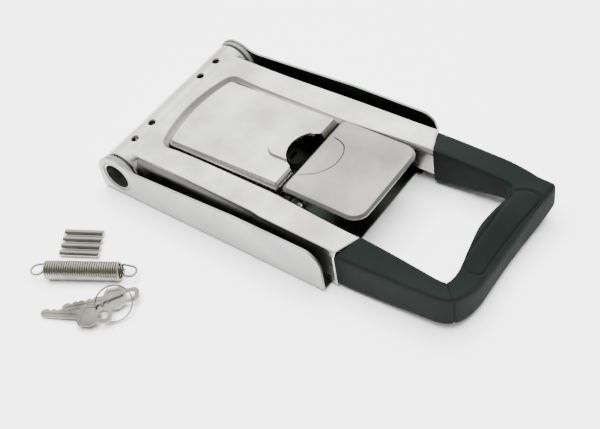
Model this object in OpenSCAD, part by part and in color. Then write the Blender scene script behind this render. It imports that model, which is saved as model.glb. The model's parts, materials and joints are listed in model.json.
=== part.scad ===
// Push-button lever latch: a sheet tray, a swinging lever with a rubber grip,
// a push plate that draws two hooks, a key lock, and the loose kit that comes with it.
// X runs from the hub axis towards the grip, Y along the hub axis, Z up from the mounting face.

/* [Base tray] */
// Width across the outside of the side walls
base_w = 155; // [150:1:170]
// Distance from the hub axis to the front of the side walls
base_front = 191; // [180:1:196]
// Sheet thickness of the tray
base_t = 2; // [1.5:0.25:2.5]
// Height of the hub axis above the mounting face
hub_z = 19.5; // [19.5:0.5:24]
// Outer radius of the round ears
ear_r = 18; // [17.5:0.25:19]
// Height of the side walls at the front
wall_top = 37.4; // [36:0.2:42]
// Radius of the upper front corner of a wall
wall_corner_r = 14; // [8:1:18]
// Outer radius of the bends along the floor
tray_bend_r = 3.5; // [3:0.5:5]
// Depth of the notch in the floor's front edge
floor_notch = 4; // [2:0.5:8]
// Diameter of the mounting holes in the floor
bolt_d = 8.5; // [5.5:0.5:9]
// Spacing of the mounting holes along X
bolt_dx = 96; // [90:1:100]
// Spacing of the mounting holes along Y
bolt_dy = 100; // [94:1:110]

/* [Hub] */
// Bore for the door tube
bore_d = 22.1; // [20:0.1:22.6]
// Wall of the hub tube that turns in the bushes
tube_t = 1.45; // [1.2:0.05:1.6]
// Wall of the bush between the hub tube and the ear
bush_t = 0.95; // [0.8:0.05:1.2]
// Thickness of the bush flange inside the ear
bush_flange = 3.5; // [2:0.5:4]
// Outer radius of the lever's sleeve
sleeve_r = 17.2; // [16.8:0.1:17.4]
// Gap between the lever's sleeve and the flange of each bush
sleeve_gap = 2; // [1:0.25:5]
// Diameter of the fixing pins
pin_d = 5; // [4:0.5:6]
// Length of the fixing pins
pin_len = 31; // [26:1:33]
// Distance of the inner pin holes from the middle
pin_y_inner = 30; // [26:1:34]
// Distance of the outer pin holes from the middle
pin_y_outer = 50; // [44:1:56]

/* [Lever] */
// Height of the lever's top above the hub axis
lever_rise = 15.9; // [15:0.1:16.5]
// Sheet thickness of the lever
lever_t = 2.5; // [2:0.25:3]
// Width of the window between the rails at the hub
window_w = 83.6; // [82:0.2:87]
// Width of one rail
rail_w = 20.4; // [19.5:0.1:21]
// Outward splay of each rail, in degrees
rail_splay = 1.1; // [0.9:0.1:1.3]
// Distance from the hub axis to the front of the rails
rail_front = 201; // [199:1:204]
// Rear edge of the window at the middle
window_rear = 13; // [12:0.5:16]
// Outer bend radius of the rails
rail_bend_r = 4; // [3.5:0.5:6]
// Depth of the inner flanges below the lever's top
flange_depth = 23; // [22:0.5:25]

/* [Cover and push plate] */
// Gap between the lock cover and the window's side, at the hub
cover_gap = 2.6; // [2.2:0.1:3.6]
// Rear edge of the lock cover at the middle
cover_rear = 18; // [17.5:0.5:22]
// How far the cover's top rises from its rear edge to its front
cover_rise = 4.6; // [3:0.2:5]
// Middle of the gap between the cover and the push plate
split_x = 129.75; // [128:0.25:131]
// Width of the gap between the cover and the push plate
split_gap = 3.5; // [3:0.25:5]
// Sheet thickness of the cover
cover_t = 2; // [1.5:0.25:2.5]
// Depth of the cover's bent edges
cover_depth = 8; // [6:0.5:9]
// Radius of the half-moon key opening
moon_r = 20.8; // [18:0.2:22]
// How far the key opening reaches into the cover
moon_depth = 15; // [13:0.5:16]
// Gap between the push plate and the window's side, at the hub
push_gap = 1.8; // [1.4:0.1:2.4]
// Front edge of the push plate
push_front = 200; // [192:1:201]
// Height of the push plate's top above the lever's top
push_rise = 5.6; // [4.6:0.2:6]
// Sheet thickness of the push plate
push_t = 2.2; // [1.8:0.1:2.5]
// Radius of the push plate's front corners
push_corner_r = 12; // [8:1:16]

/* [Latch and lock] */
// Diameter of the push plate's pivot pin
pivot_d = 5; // [4:0.5:6]
// Diameter of the hook shaft
shaft_d = 6; // [5:0.5:6.5]
// Thickness of one hook
hook_t = 4; // [3:0.5:5]
// Thickness of the strikers' sheet
striker_t = 2; // [1.5:0.25:2.5]
// Diameter of the lock cylinder
lock_d = 15; // [14:0.5:16]
// Diameter of the lock's turning plug
plug_d = 10.9; // [10:0.1:11.5]
// Length of the lock cylinder
lock_len = 16; // [14:0.5:16.5]
// Slope of the lock's axis above the horizontal, in degrees
lock_slope = 60; // [58:1:64]

/* [Grip] */
// Diameter of the steel bar inside the grip
core_d = 10; // [8:0.5:10]
// Distance of the bar's arms from the window's side, at the hub
core_offset = 15.2; // [14.4:0.1:15.6]
// Middle of the grip's cross bar
bar_x = 279.4; // [274:0.2:288]
// Radius of the steel bar's bends along its middle line
core_bend_r = 12; // [10:1:14]
// Radius of the hand opening's front corners
inner_corner_r = 5; // [3:0.5:7]
// Radius of the grip's outer corners
outer_corner_r = 13; // [11:0.5:16]
// Width of a grip arm at the rail
arm_w = 19.9; // [18:0.1:21]
// Height of a grip arm at the rail
arm_h = 31.4; // [28:0.2:32]
// Width of a grip arm before the corner
neck_w = 16.4; // [15.6:0.1:18]
// Height of a grip arm before the corner
neck_h = 22.8; // [21:0.2:26]
// Width of the cross bar
bar_w = 22.8; // [20:0.2:25]
// Height of the cross bar
bar_h = 24.6; // [23:0.2:27]
// How far the cross bar's top falls from the hand opening outwards
bar_fall = 13; // [8:0.5:14]

/* [Loose kit] */
// Outer diameter of the extension spring
coil_d = 15.5; // [12:0.5:18]
// Wire diameter of the extension spring
coil_wire = 1.8; // [1.4:0.1:2.2]
// Number of touching coils
coil_turns = 33; // [20:1:36]
// Outside length of one end loop
loop_len = 11.5; // [10:0.5:14]
// Length of a key's blade
key_blade = 28; // [24:1:32]
// Width of a key's blade
key_blade_w = 7.6; // [6:0.2:8]
// Width of a key's bow
key_bow_w = 20; // [19:0.5:21]
// Length of a key's bow
key_bow = 24; // [22:1:26]
// Thickness of a key
key_t = 1.8; // [1.5:0.1:1.9]
// Diameter of the key ring along its wire
ring_d = 25; // [24:0.5:28]
// Wire diameter of the key ring
ring_wire = 1.6; // [1.4:0.1:1.7]

/* [Clearances] */
// Radial clearance of a shaft or plug that turns
run_gap = 0.05; // [0.03:0.01:0.08]
// Gap between flat pieces that pass each other
slip_gap = 0.3; // [0.2:0.05:0.4]
// Radial clearance of a welded or moulded joint
seat_gap = 0.05; // [0.02:0.01:0.1]

/* [Hidden] */
$fn = 96;
over = 1;

// Colours of the finishes
polished = [0.80, 0.80, 0.78];
satin = [0.70, 0.71, 0.70];
zinc = [0.62, 0.63, 0.64];
spring_steel = [0.52, 0.52, 0.50];
nylon = [0.70, 0.69, 0.66];
rubber = [0.17, 0.19, 0.19];
brass = [0.72, 0.60, 0.32];

// Ears and walls of the tray
wall_in = base_w/2 - base_t;
ear_exit = 62;
sweep_r = 30;
wall_climb = 3.4;
floor_ledge = 26;
tray_rear = -ear_r;
notch_half = wall_in - floor_ledge;
bolt_rear = 58;

// Hub radii from the inside out
bore_r = bore_d/2;
tube_r = bore_r + tube_t;
bush_in = tube_r + run_gap;
ear_hole_r = bush_in + bush_t;
bush_flange_r = ear_r - 0.8;
tube_len = base_w - 1;
sleeve_len = 2*(wall_in - bush_flange - sleeve_gap);
pin_hole_r = pin_d/2 + 0.1;

// Heights of the lever
plate_top = hub_z + lever_rise;
plate_low = plate_top - lever_t;
skirt_low = base_t + 0.7;
flange_low = plate_top - flange_depth;
rail_rear = 4;
front_slant = 0.4;
window_bow_r = 114;
window_corner_r = 6.5;
web_front = 40;

// Cover and push plate
cover_w = window_w - 2*cover_gap;
push_w = window_w - 2*push_gap;
cover_front = split_x - split_gap/2;
cover_bow_r = 130;
cover_corner_r = 5;
cover_low = plate_top - cover_depth;
push_rear = split_x + split_gap/2;
push_top = plate_top + push_rise;
push_low = push_top - push_t;
lip_depth = 6;
strap_w = 12;
strap_t = 2.5;
strap_x = [48, 86];
strap_drop = 14;
strap_rivet_z = cover_low - strap_t - 6;
rivet_r = 2;
rivet_head_r = 3.6;
rivet_head = 1.2;

// Pivot of the push plate and axis of the hooks
pivot_x = push_rear + 11.5;
pivot_drop = 8.4;
pivot_z = plate_top - pivot_drop;
pivot_r = pivot_d/2;
lug_r = pivot_r + 3.5;
lug_t = 2.5;
lug_inset = 6;
lug_y = push_w/2 - lug_inset;
collar_wall = 2.2;
finger_t = 2.4;
finger_len = 5;
push_leg = 0.47*(push_front - pivot_x);
hook_x = pivot_x - 19;
hook_z = pivot_z - 6;
shaft_r = shaft_d/2;
hook_hub_r = shaft_r + 2;
hook_y = lug_y + lug_t/2 - hook_t/2;
arm_reach = 10.5;
arm_gap = 2.4;
arm_thick = 2.2;
finger_gap = 1.2;
hook_bar = 7;
nose_reach = 9;
nose_low = base_t + 3;
nose_thick = 4;
coil_pitch = 0.96;
leg_ratio = 0.9;
striker_y = lug_y + lug_t/2;
striker_w = 11;
striker_edge = hook_x - nose_reach - slip_gap;
lip_low = nose_low + nose_thick + 2.2;
striker_lip = 10.5;
striker_foot = 15;

// Lock, in its own frame with Z along the axis out of the mouth
mouth_x = hook_x - 11;
mouth_z = plate_top - 6.9;
lock_r = lock_d/2;
plug_r = plug_d/2;
collar_r = lock_r + 1.8;
collar_z = 2.5;
bracket_t = 2;
bracket_rear = 15;
bracket_wide = 9.5;
bracket_narrow = 4;
bracket_side = 5;
bracket_tab = 9;
nut_t = 3;
keyway_w = 8;
keyway_t = 2.3;
keyway_depth = 13;
cam_t = 2.5;
cam_reach = 15;
cam_r = 6;

// Grip
core_r = core_d/2;
core_y = window_w/2 + core_offset;
core_z = hub_z - 0.5;
core_rear = 150;
core_pin_x = 172;
core_pin_r = 2.5;
grip_rear = rail_front + slip_gap;
core_end = bar_x - core_bend_r;
core_corner_y = core_y - core_bend_r;
arm_fall = 4;
neck_fall = -3.2;
arm_low_fall = 1.1;
neck_low_fall = 5.6;
bar_low_fall = 1;
neck_lift = 2.2;
bar_drop = 2.2;

// Loose kit places on the surface
kit_pin_at = [13.5, -140.5];
kit_pin_turn = 26.8;
kit_pin_step = [-3.6, 5.7];
coil_at = [31, -153];
coil_turn = 28.5;
key_one_at = [26.7, -196];
key_one_turn = 25.5;
key_two_at = [36.5, -185];
key_two_turn = 42;
key_one_tilt = 7.2;
key_two_tilt = 6.2;
ring_tilt = 35;
key_hole_r = 4.5;
key_rim = 2.2;

// Points along an arc, from angle a0 to angle a1
function arc(c, r, a0, a1, n = 8) =
    [for (i = [0:n]) let (a = a0 + (a1 - a0)*i/n) [c[0] + r*cos(a), c[1] + r*sin(a)]];

// Height of the cover's sloping top, at x
function cover_z(x) = plate_top + cover_rise*(x - cover_rear)/(cover_front - cover_rear);

// Distance of a rail's inner face from the middle, at x
function rail_y(x) = window_w/2 + x*tan(rail_splay);

// Outline with a bowed rear edge, rounded rear corners and a straight front
function bowed(half, rear, front, bow_r, corner_r) =
    let (cx = rear + bow_r,
         turn = asin((half - corner_r)/(bow_r - corner_r)),
         c = [cx - (bow_r - corner_r)*cos(turn), half - corner_r])
    concat(
        [[front, -half]],
        [for (p = arc([c[0], -c[1]], corner_r, 270, 180 + turn, 6)) p],
        [for (p = arc([cx, 0], bow_r, 180 + turn, 180 - turn, 16)) p],
        [for (p = arc(c, corner_r, 180 - turn, 90, 6)) p],
        [[front, half]]);

// Sheet bent into an upside-down channel: width w, top z, sheet t, bend radius r
function channel(w, top, t, r, low_a, low_b) = concat(
    [[0, low_a]],
    arc([r, top - r], r, 180, 90, 6),
    arc([w - r, top - r], r, 90, 0, 6),
    [[w, low_b], [w - t, low_b]],
    arc([w - r, top - r], r - t, 0, 90, 4),
    arc([r, top - r], r - t, 90, 180, 4),
    [[t, low_a]]);

// Extrudes an outline drawn in Y and Z along X
module along_x(length) rotate([90, 0, 90]) linear_extrude(length) children();

// Extrudes an outline drawn in X and Z along Y, centred
module across_y(width) rotate([90, 0, 0]) linear_extrude(width, center = true) children();

// Round bar along Y, centred
module bar_y(r, length) rotate([90, 0, 0]) cylinder(r = r, h = length, center = true);

// Frame of one rail: X along the rail, Y outwards from its inner face
module on_rail(side)
    mirror([0, side < 0 ? 1 : 0, 0])
        rotate([0, 0, rail_splay])
            translate([0, window_w/2, 0])
                children();

// Frame of the lock: Z out of the cylinder's mouth
module on_lock()
    translate([mouth_x, 0, mouth_z])
        rotate([0, 90 - lock_slope, 0])
            children();

// Rivet through a rail's inner flange and a tab of thickness tab_t inside it
module flange_rivet(x, z, tab_t) {
    translate([x, 0, z]) {
        translate([0, (lever_t - tab_t)/2, 0]) bar_y(rivet_r, lever_t + tab_t + rivet_head);
        translate([0, lever_t + rivet_head/2, 0]) bar_y(rivet_head_r, rivet_head);
        translate([0, -tab_t - rivet_head/2, 0]) bar_y(rivet_head_r, rivet_head);
    }
}

// Side outline of the tray in X and Z
module wall_outline() {
    ear_end = [ear_r*cos(ear_exit), hub_z + ear_r*sin(ear_exit)];
    fall = 90 - ear_exit;
    c = ear_end + sweep_r*[sin(fall), cos(fall)];
    climb_start = c + sweep_r*[sin(wall_climb), -cos(wall_climb)];
    climb_x = climb_start[0] + (wall_top - climb_start[1])/tan(wall_climb);
    flat_x = min(climb_x, base_front - wall_corner_r - over);
    polygon(concat(
        [[tray_rear, 0]],
        arc([0, hub_z], ear_r, 180, ear_exit, 24),
        arc(c, sweep_r, 270 - fall, 270 + wall_climb, 8),
        [[flat_x, wall_top]],
        arc([base_front - wall_corner_r, wall_top - wall_corner_r], wall_corner_r, 90, 0, 10),
        [[base_front, 0]]));
}

// Cross section of the tray in Y and Z
module tray_section() {
    half = base_w/2;
    r = tray_bend_r;
    height = max(wall_top, hub_z + ear_r) + over;
    polygon(concat(
        [[-half, height]],
        arc([-half + r, r], r, 180, 270, 5),
        arc([half - r, r], r, 270, 360, 5),
        [[half, height], [half - base_t, height]],
        arc([half - r, r], r - base_t, 360, 270, 4),
        arc([-half + r, r], r - base_t, 270, 180, 4),
        [[-half + base_t, height]]));
}

// Places of the strikers' rivets on the floor
module striker_rivet_places(side)
    for (dx = [-3.3, 3.3])
        translate([striker_edge - striker_lip - (striker_foot - striker_t)/2 + dx, side*striker_y, 0])
            children();

module bolt_places()
    for (x = [0, 1], side = [-1, 1])
        translate([bolt_rear + x*bolt_dx, side*bolt_dy/2, 0])
            children();

// Whole bent sheet of the tray
module tray_sheet()
    difference() {
        intersection() {
            translate([tray_rear, 0, 0]) along_x(base_front - tray_rear) tray_section();
            across_y(base_w + 2*over) wall_outline();
        }
        translate([0, 0, hub_z]) bar_y(ear_hole_r + seat_gap, base_w + 2*over);
        translate([base_front - floor_notch, -notch_half, -over])
            cube([floor_notch + over, 2*notch_half, base_t + 2*over]);
        bolt_places() translate([0, 0, -over]) cylinder(d = bolt_d, h = base_t + 2*over);
        for (side = [-1, 1])
            striker_rivet_places(side)
                translate([0, 0, -over]) cylinder(r = rivet_r, h = base_t + 2*over);
    }

// Floor of the tray with its bends
module tray_floor() color(satin)
    intersection() {
        tray_sheet();
        translate([tray_rear - over, -base_w, -over])
            cube([base_front - tray_rear + 2*over, 2*base_w, tray_bend_r + over]);
    }

// Side wall of the tray above its bend
module tray_wall(side) color(satin)
    intersection() {
        tray_sheet();
        translate([tray_rear - over, side < 0 ? -base_w : 0, tray_bend_r])
            cube([base_front - tray_rear + 2*over, base_w, hub_z + ear_r + wall_top]);
    }

module near_wall() tray_wall(-1);

module far_wall() tray_wall(1);

// Flanged bush of the far ear
module bush() color(nylon)
    translate([0, 0, hub_z])
        rotate([-90, 0, 0])
            difference() {
                union() {
                    translate([0, 0, wall_in]) cylinder(r = ear_hole_r, h = base_t);
                    translate([0, 0, wall_in - bush_flange]) cylinder(r = bush_flange_r, h = bush_flange);
                }
                translate([0, 0, wall_in - bush_flange - over])
                    cylinder(r = bush_in, h = bush_flange + base_t + 2*over);
            }

module far_bush() bush();

module near_bush() mirror([0, 1, 0]) bush();

// Bent catch on the floor that a hook reaches under
module striker(side) color(zinc)
    difference() {
        translate([0, side*striker_y, 0])
            across_y(striker_w)
                polygon([
                    [striker_edge - striker_lip - striker_foot + striker_t, base_t],
                    [striker_edge - striker_lip + striker_t, base_t],
                    [striker_edge - striker_lip + striker_t, lip_low],
                    [striker_edge, lip_low],
                    [striker_edge, lip_low + striker_t],
                    [striker_edge - striker_lip, lip_low + striker_t],
                    [striker_edge - striker_lip, base_t + striker_t],
                    [striker_edge - striker_lip - striker_foot + striker_t, base_t + striker_t]
                ]);
        striker_rivet_places(side) cylinder(r = rivet_r, h = base_t + striker_t + over);
    }

module near_striker() striker(-1);

module far_striker() striker(1);

module striker_rivets() color(zinc)
    for (side = [-1, 1])
        striker_rivet_places(side) {
            cylinder(r = rivet_r, h = base_t + striker_t);
            translate([0, 0, base_t + striker_t]) cylinder(r = rivet_head_r - 1, h = rivet_head);
        }

// Vertical pin holes through the hub
module pin_places()
    for (y = [-pin_y_outer, -pin_y_inner, pin_y_inner, pin_y_outer])
        translate([0, y, hub_z])
            children();

module lever_frame() color(polished)
    difference() {
        union() {
            for (side = [-1, 1])
                on_rail(side)
                    translate([rail_rear, 0, 0])
                        along_x(rail_front + over*10 - rail_rear)
                            polygon(channel(rail_w, plate_top, lever_t, rail_bend_r, flange_low, skirt_low));
            translate([0, 0, plate_low])
                linear_extrude(lever_t)
                    polygon([
                        [rail_rear, -rail_y(rail_rear) - rail_bend_r],
                        [web_front, -rail_y(web_front) - rail_bend_r],
                        [web_front, rail_y(web_front) + rail_bend_r],
                        [rail_rear, rail_y(rail_rear) + rail_bend_r]
                    ]);
        }
        translate([0, 0, plate_top - flange_depth - over])
            linear_extrude(flange_depth + 2*over)
                polygon(bowed(rail_y(window_rear), window_rear, web_front + over, window_bow_r, window_corner_r));
        translate([0, 0, hub_z]) bar_y(sleeve_r + seat_gap, base_w);
        for (side = [-1, 1]) {
            mirror([0, side < 0 ? 1 : 0, 0])
                translate([rail_front + front_slant*core_y, 0, 0])
                    rotate([0, 0, atan(front_slant)])
                        translate([0, 0, -over])
                            cube([60, base_w, wall_top + 2*over]);
            on_rail(side) {
                translate([core_pin_x, rail_w/2, core_z]) bar_y(core_pin_r, rail_w + 2*over);
                for (x = strap_x)
                    translate([x, 0, strap_rivet_z]) bar_y(rivet_r, 3*lever_t);
                on_bracket_rivets() bar_y(rivet_r, 3*lever_t);
            }
            translate([pivot_x, side*rail_y(pivot_x), pivot_z]) bar_y(pivot_r + seat_gap, 4*lever_t);
            translate([hook_x, side*rail_y(hook_x), hook_z]) bar_y(shaft_r + run_gap, 4*lever_t);
        }
    }

module hub_sleeve() color(polished)
    difference() {
        translate([0, 0, hub_z]) bar_y(sleeve_r, sleeve_len);
        translate([0, 0, hub_z]) bar_y(tube_r + seat_gap, sleeve_len + 2*over);
        pin_places() cylinder(r = pin_hole_r, h = 3*sleeve_r, center = true);
    }

module hub_tube() color(satin)
    difference() {
        translate([0, 0, hub_z]) bar_y(tube_r, tube_len);
        translate([0, 0, hub_z]) bar_y(bore_r, tube_len + 2*over);
        pin_places() cylinder(r = pin_hole_r, h = 3*sleeve_r, center = true);
    }

// Round bar bent into a U, arms towards the hub
module u_bar(r, rear) translate([0, 0, core_z]) {
    for (side = [-1, 1])
        mirror([0, side < 0 ? 1 : 0, 0]) {
            translate([rear, core_y, 0]) rotate([0, 90, 0]) cylinder(r = r, h = core_end - rear);
            translate([core_end, core_corner_y, 0])
                rotate_extrude(angle = 90) translate([core_bend_r, 0]) circle(r = r);
        }
    translate([bar_x, 0, 0]) bar_y(r, 2*core_corner_y);
}

module grip_core() color(zinc)
    difference() {
        u_bar(core_r, core_rear);
        for (side = [-1, 1])
            on_rail(side) translate([core_pin_x, rail_w/2, core_z]) bar_y(core_pin_r, rail_w);
    }

module core_pins() color(zinc)
    for (side = [-1, 1])
        on_rail(side)
            translate([core_pin_x, 0, core_z]) {
                translate([0, rail_w/2, 0]) bar_y(core_pin_r, rail_w + rivet_head);
                translate([0, rail_w + rivet_head/2, 0]) bar_y(core_pin_r + 1.8, rivet_head);
                translate([0, -rivet_head/2, 0]) bar_y(core_pin_r + 1.8, rivet_head);
            }

// Value between a and b
function between(a, b, t) = a + (b - a)*t;

// Soft step from 0 to 1
function ease(t) = let (s = min(max(t, 0), 1)) s*s*(3 - 2*s);

// Ring of points round the grip between an inner and an outer point: middle and height of the
// section, how far its top and its underside fall outwards, and its squareness
function grip_ring(inner, outer, mid, h, top_fall, low_fall, p, sides = 24) =
    [for (i = [0:sides - 1])
        let (a = 360*i/sides,
             u = 0.5 + 0.5*sign(cos(a))*pow(abs(cos(a)), 2/p),
             v = 0.5 + 0.5*sign(sin(a))*pow(abs(sin(a)), 2/p),
             top = mid + h/2 + top_fall*(0.5 - u),
             low = mid - h/2 + low_fall*(0.5 - u))
        [between(inner[0], outer[0], u), between(inner[1], outer[1], u), between(low, top, v)]];

// Half of the grip's rings, from the far arm's end to the middle of the bar
function half_grip() =
    let (y_in = core_y - neck_w/2,
         y_out = core_y + neck_w/2,
         x_in = bar_x - bar_w/2,
         x_out = bar_x + bar_w/2,
         r_in = inner_corner_r,
         r_out = outer_corner_r,
         end_shift = front_slant*arm_w/2,
         neck_mid = core_z + neck_lift)
    concat(
        [for (i = [0:5])
            let (s = i/5)
            grip_ring([between(grip_rear + end_shift, x_in - r_in, s), between(core_y - arm_w/2, y_in, s)],
                      [between(grip_rear - end_shift, x_out - r_out, s), between(core_y + arm_w/2, y_out, s)],
                      between(core_z, neck_mid, s), between(arm_h, neck_h, s),
                      between(arm_fall, neck_fall, s), between(arm_low_fall, neck_low_fall, s), 5.5 - 1.5*s)],
        [for (i = [1:6])
            let (a = 90*i/6)
            grip_ring([x_in - r_in + r_in*sin(a), y_in - r_in + r_in*cos(a)],
                      [x_out - r_out + r_out*sin(a), y_out - r_out + r_out*cos(a)],
                      neck_mid, neck_h, neck_fall, neck_low_fall, 4)],
        [for (i = [1:5])
            let (s = i/5, e = ease(1.4*s))
            grip_ring([x_in, (y_in - r_in)*(1 - s)], [x_out, (y_out - r_out)*(1 - s)],
                      between(neck_mid, core_z - bar_drop, e), between(neck_h, bar_h, e),
                      between(neck_fall, bar_fall, e), between(neck_low_fall, bar_low_fall, e), 4 - 0.8*e)]);

// Closed solid through a row of rings
module swept(rings) {
    n = len(rings[0]);
    last = len(rings) - 1;
    polyhedron(
        points = [for (ring = rings) each ring],
        faces = concat(
            [[for (j = [0:n - 1]) j]],
            [for (i = [0:last - 1], j = [0:n - 1])
                let (a = i*n + j, b = i*n + (j + 1)%n)
                [a, a + n, b + n, b]],
            [[for (j = [n - 1:-1:0]) last*n + j]]),
        convexity = 6);
}

module rubber_grip() color(rubber)
    difference() {
        half = half_grip();
        swept(concat(half, [for (i = [len(half) - 2:-1:0]) [for (q = half[i]) [q[0], -q[1], q[2]]]]));
        u_bar(core_r + seat_gap, core_rear);
    }

// Upright block over an outline from z = low, cut off at the cover's top lowered by drop
module sloped_block(low, drop)
    intersection() {
        translate([0, 0, low]) linear_extrude(cover_depth + cover_rise + 2*over) children();
        across_y(cover_w + 2*over)
            polygon([
                [cover_rear - over, cover_low - 2*over],
                [cover_front + over, cover_low - 2*over],
                [cover_front + over, cover_z(cover_front + over) - drop],
                [cover_rear - over, cover_z(cover_rear - over) - drop]
            ]);
    }

module lock_cover() color(polished)
    difference() {
        sloped_block(cover_low, 0)
            polygon(bowed(cover_w/2, cover_rear, cover_front, cover_bow_r, cover_corner_r));
        sloped_block(cover_low - over, cover_t)
            polygon(bowed(cover_w/2 - cover_t, cover_rear + cover_t, cover_front - cover_t,
                          cover_bow_r - cover_t, cover_corner_r - cover_t));
        translate([cover_front - moon_depth + moon_r, 0, cover_low - over])
            cylinder(r = moon_r, h = cover_depth + cover_rise + 2*over);
    }

// Cross straps that carry the cover between the rails
module cover_straps() color(zinc)
    for (x = strap_x)
        difference() {
            union() {
                half = rail_y(x - strap_w/2) - strap_t/2;
                translate([x - strap_w/2, -half, cover_low - strap_t]) cube([strap_w, 2*half, strap_t]);
                for (side = [-1, 1])
                    on_rail(side)
                        translate([x - strap_w/2, -strap_t, cover_low - strap_drop])
                            cube([strap_w, strap_t, strap_drop]);
            }
            for (side = [-1, 1])
                on_rail(side) translate([x, 0, strap_rivet_z]) bar_y(rivet_r, 4*lever_t);
        }

module strap_rivets() color(zinc)
    for (x = strap_x, side = [-1, 1])
        on_rail(side) flange_rivet(x, strap_rivet_z, strap_t);

// Lug of the push plate, with the finger that lifts a hook's arm
module lug_outline() {
    tip_x = hook_x + hook_hub_r + 2.2;
    tip_z = hook_z + arm_gap - finger_gap;
    difference() {
        union() {
            translate([pivot_x, pivot_z]) circle(r = lug_r);
            translate([pivot_x - lug_r, pivot_z]) square([2*lug_r, push_low - pivot_z + push_t/2]);
            polygon([
                [tip_x, tip_z], [tip_x + finger_len, tip_z], [pivot_x - lug_r/2, pivot_z],
                [pivot_x, pivot_z - lug_r], [tip_x + finger_len, tip_z - finger_t], [tip_x, tip_z - finger_t]
            ]);
        }
        translate([pivot_x, pivot_z]) circle(r = pivot_r + run_gap);
    }
}

module push_plate() color(polished) {
    half = push_w/2;
    r = push_corner_r;
    translate([0, 0, push_low])
        linear_extrude(push_t)
            polygon(concat(
                [[push_rear, -half]],
                arc([push_front - r, -half + r], r, 270, 360),
                arc([push_front - r, half - r], r, 0, 90),
                [[push_rear, half]]));
    translate([push_rear, -half, push_top - lip_depth]) cube([push_t, push_w, lip_depth]);
    for (side = [-1, 1])
        translate([0, side*(lug_y + lug_t/2), 0]) across_y(lug_t) lug_outline();
}

module pivot_pin() color(zinc)
    translate([pivot_x, 0, pivot_z]) bar_y(pivot_r, 2*(rail_y(pivot_x) + lever_t + 1.5));

module pivot_collars() color(polished)
    for (side = [-1, 1]) {
        inner = lug_y + lug_t + slip_gap;
        outer = rail_y(pivot_x - lug_r) - slip_gap;
        translate([pivot_x, side*(inner + outer)/2, pivot_z])
            difference() {
                bar_y(pivot_r + collar_wall, outer - inner);
                bar_y(pivot_r + seat_gap, outer);
            }
    }

// Close-wound coils round Y, from y0 with the given turns
module coils(r, wire, turns, y0)
    translate([0, y0, 0])
        rotate([-90, 0, 0])
            rotate_extrude()
                for (i = [0:turns - 1])
                    translate([r, (i + 0.5)*wire*coil_pitch]) circle(d = wire, $fn = 24);

// Straight wire between two points
module wire(from, to, d) {
    run = to - from;
    length = norm(run);
    translate(from)
        rotate([0, acos(run[2]/length), atan2(run[1], run[0])])
            cylinder(d = d, h = length, $fn = 24);
}

module push_spring() color(spring_steel) {
    d = 1.2;
    turns = 9;
    r = pivot_r + 0.5 + d/2;
    span = turns*d*coil_pitch;
    translate([pivot_x, 0, pivot_z]) coils(r, d, turns, -span/2);
    leg = (span - d*coil_pitch)/2;
    wire([pivot_x, leg, pivot_z + r], [pivot_x + push_leg, leg, push_low - d/2], d*leg_ratio);
    wire([pivot_x, -leg, pivot_z - r], [hook_x, -leg, hook_z + shaft_r + d/2], d*leg_ratio);
}

module hook_shaft() color(zinc)
    translate([hook_x, 0, hook_z]) bar_y(shaft_r, 2*(rail_y(hook_x) + lever_t + 2.4));

// Side outline of a hook about its shaft
module hook_outline() {
    low = nose_low - hook_z;
    difference() {
        union() {
            circle(r = hook_hub_r);
            translate([0, arm_gap]) square([arm_reach, arm_thick]);
            translate([-hook_bar/2, low]) square([hook_bar, -low]);
            translate([-nose_reach, low]) square([nose_reach, nose_thick]);
        }
        circle(r = shaft_r + seat_gap);
    }
}

module hook(side) color(satin)
    translate([hook_x, side*(hook_y + hook_t/2), hook_z])
        across_y(hook_t)
            hook_outline();

module near_hook() hook(-1);

module far_hook() hook(1);

module shaft_clips() color(spring_steel)
    for (side = [-1, 1])
        translate([hook_x, side*(rail_y(hook_x + hook_hub_r) + lever_t + 0.9), hook_z])
            difference() {
                bar_y(shaft_r + 2.2, 1);
                bar_y(shaft_r + seat_gap, 2);
            }

module hook_spring() color(spring_steel) {
    d = 1.1;
    turns = 8;
    r = shaft_r + 0.4 + d/2;
    span = turns*d*coil_pitch;
    half = d*coil_pitch/2;
    start = hook_y - slip_gap - span;
    translate([hook_x, 0, hook_z]) {
        coils(r, d, turns, start);
        wire([r, start + span - half, 0], [r + 1.5, start + span - half, -12], d*leg_ratio);
        wire([-r, start + half, 0], [-r - 0.5, start + half, -11], d*leg_ratio);
    }
}

// Places of the bracket's rivets in a rail's frame
module on_bracket_rivets()
    translate([mouth_x, 0, mouth_z])
        rotate([0, 90 - lock_slope, 0])
            translate([-(bracket_side - bracket_narrow)/2, 0, -2*collar_z - bracket_t - bracket_tab/2])
                children();

// Sloping plate that holds the lock cylinder between the rails
module lock_bracket() color(zinc)
    difference() {
        union() {
            on_lock()
                translate([0, 0, -collar_z*2 - bracket_t]) {
                    half = rail_y(mouth_x - bracket_rear) - bracket_t/2;
                    translate([-bracket_side, -half, 0]) cube([bracket_side + bracket_narrow, 2*half, bracket_t]);
                    translate([-bracket_rear, -collar_r - 3, 0])
                        cube([bracket_rear + bracket_wide, 2*collar_r + 6, bracket_t]);
                }
            for (side = [-1, 1])
                on_rail(side)
                    translate([mouth_x, 0, mouth_z])
                        rotate([0, 90 - lock_slope, 0])
                            translate([-bracket_side, -bracket_t, -collar_z*2 - bracket_t - bracket_tab])
                                cube([bracket_side + bracket_narrow, bracket_t, bracket_t + bracket_tab]);
        }
        on_lock() cylinder(r = lock_r + seat_gap, h = 60, center = true);
        for (side = [-1, 1])
            on_rail(side) on_bracket_rivets() bar_y(rivet_r, 4*lever_t);
    }

module bracket_rivets() color(zinc)
    for (side = [-1, 1])
        on_rail(side)
            on_bracket_rivets() flange_rivet(0, 0, bracket_t);

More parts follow.
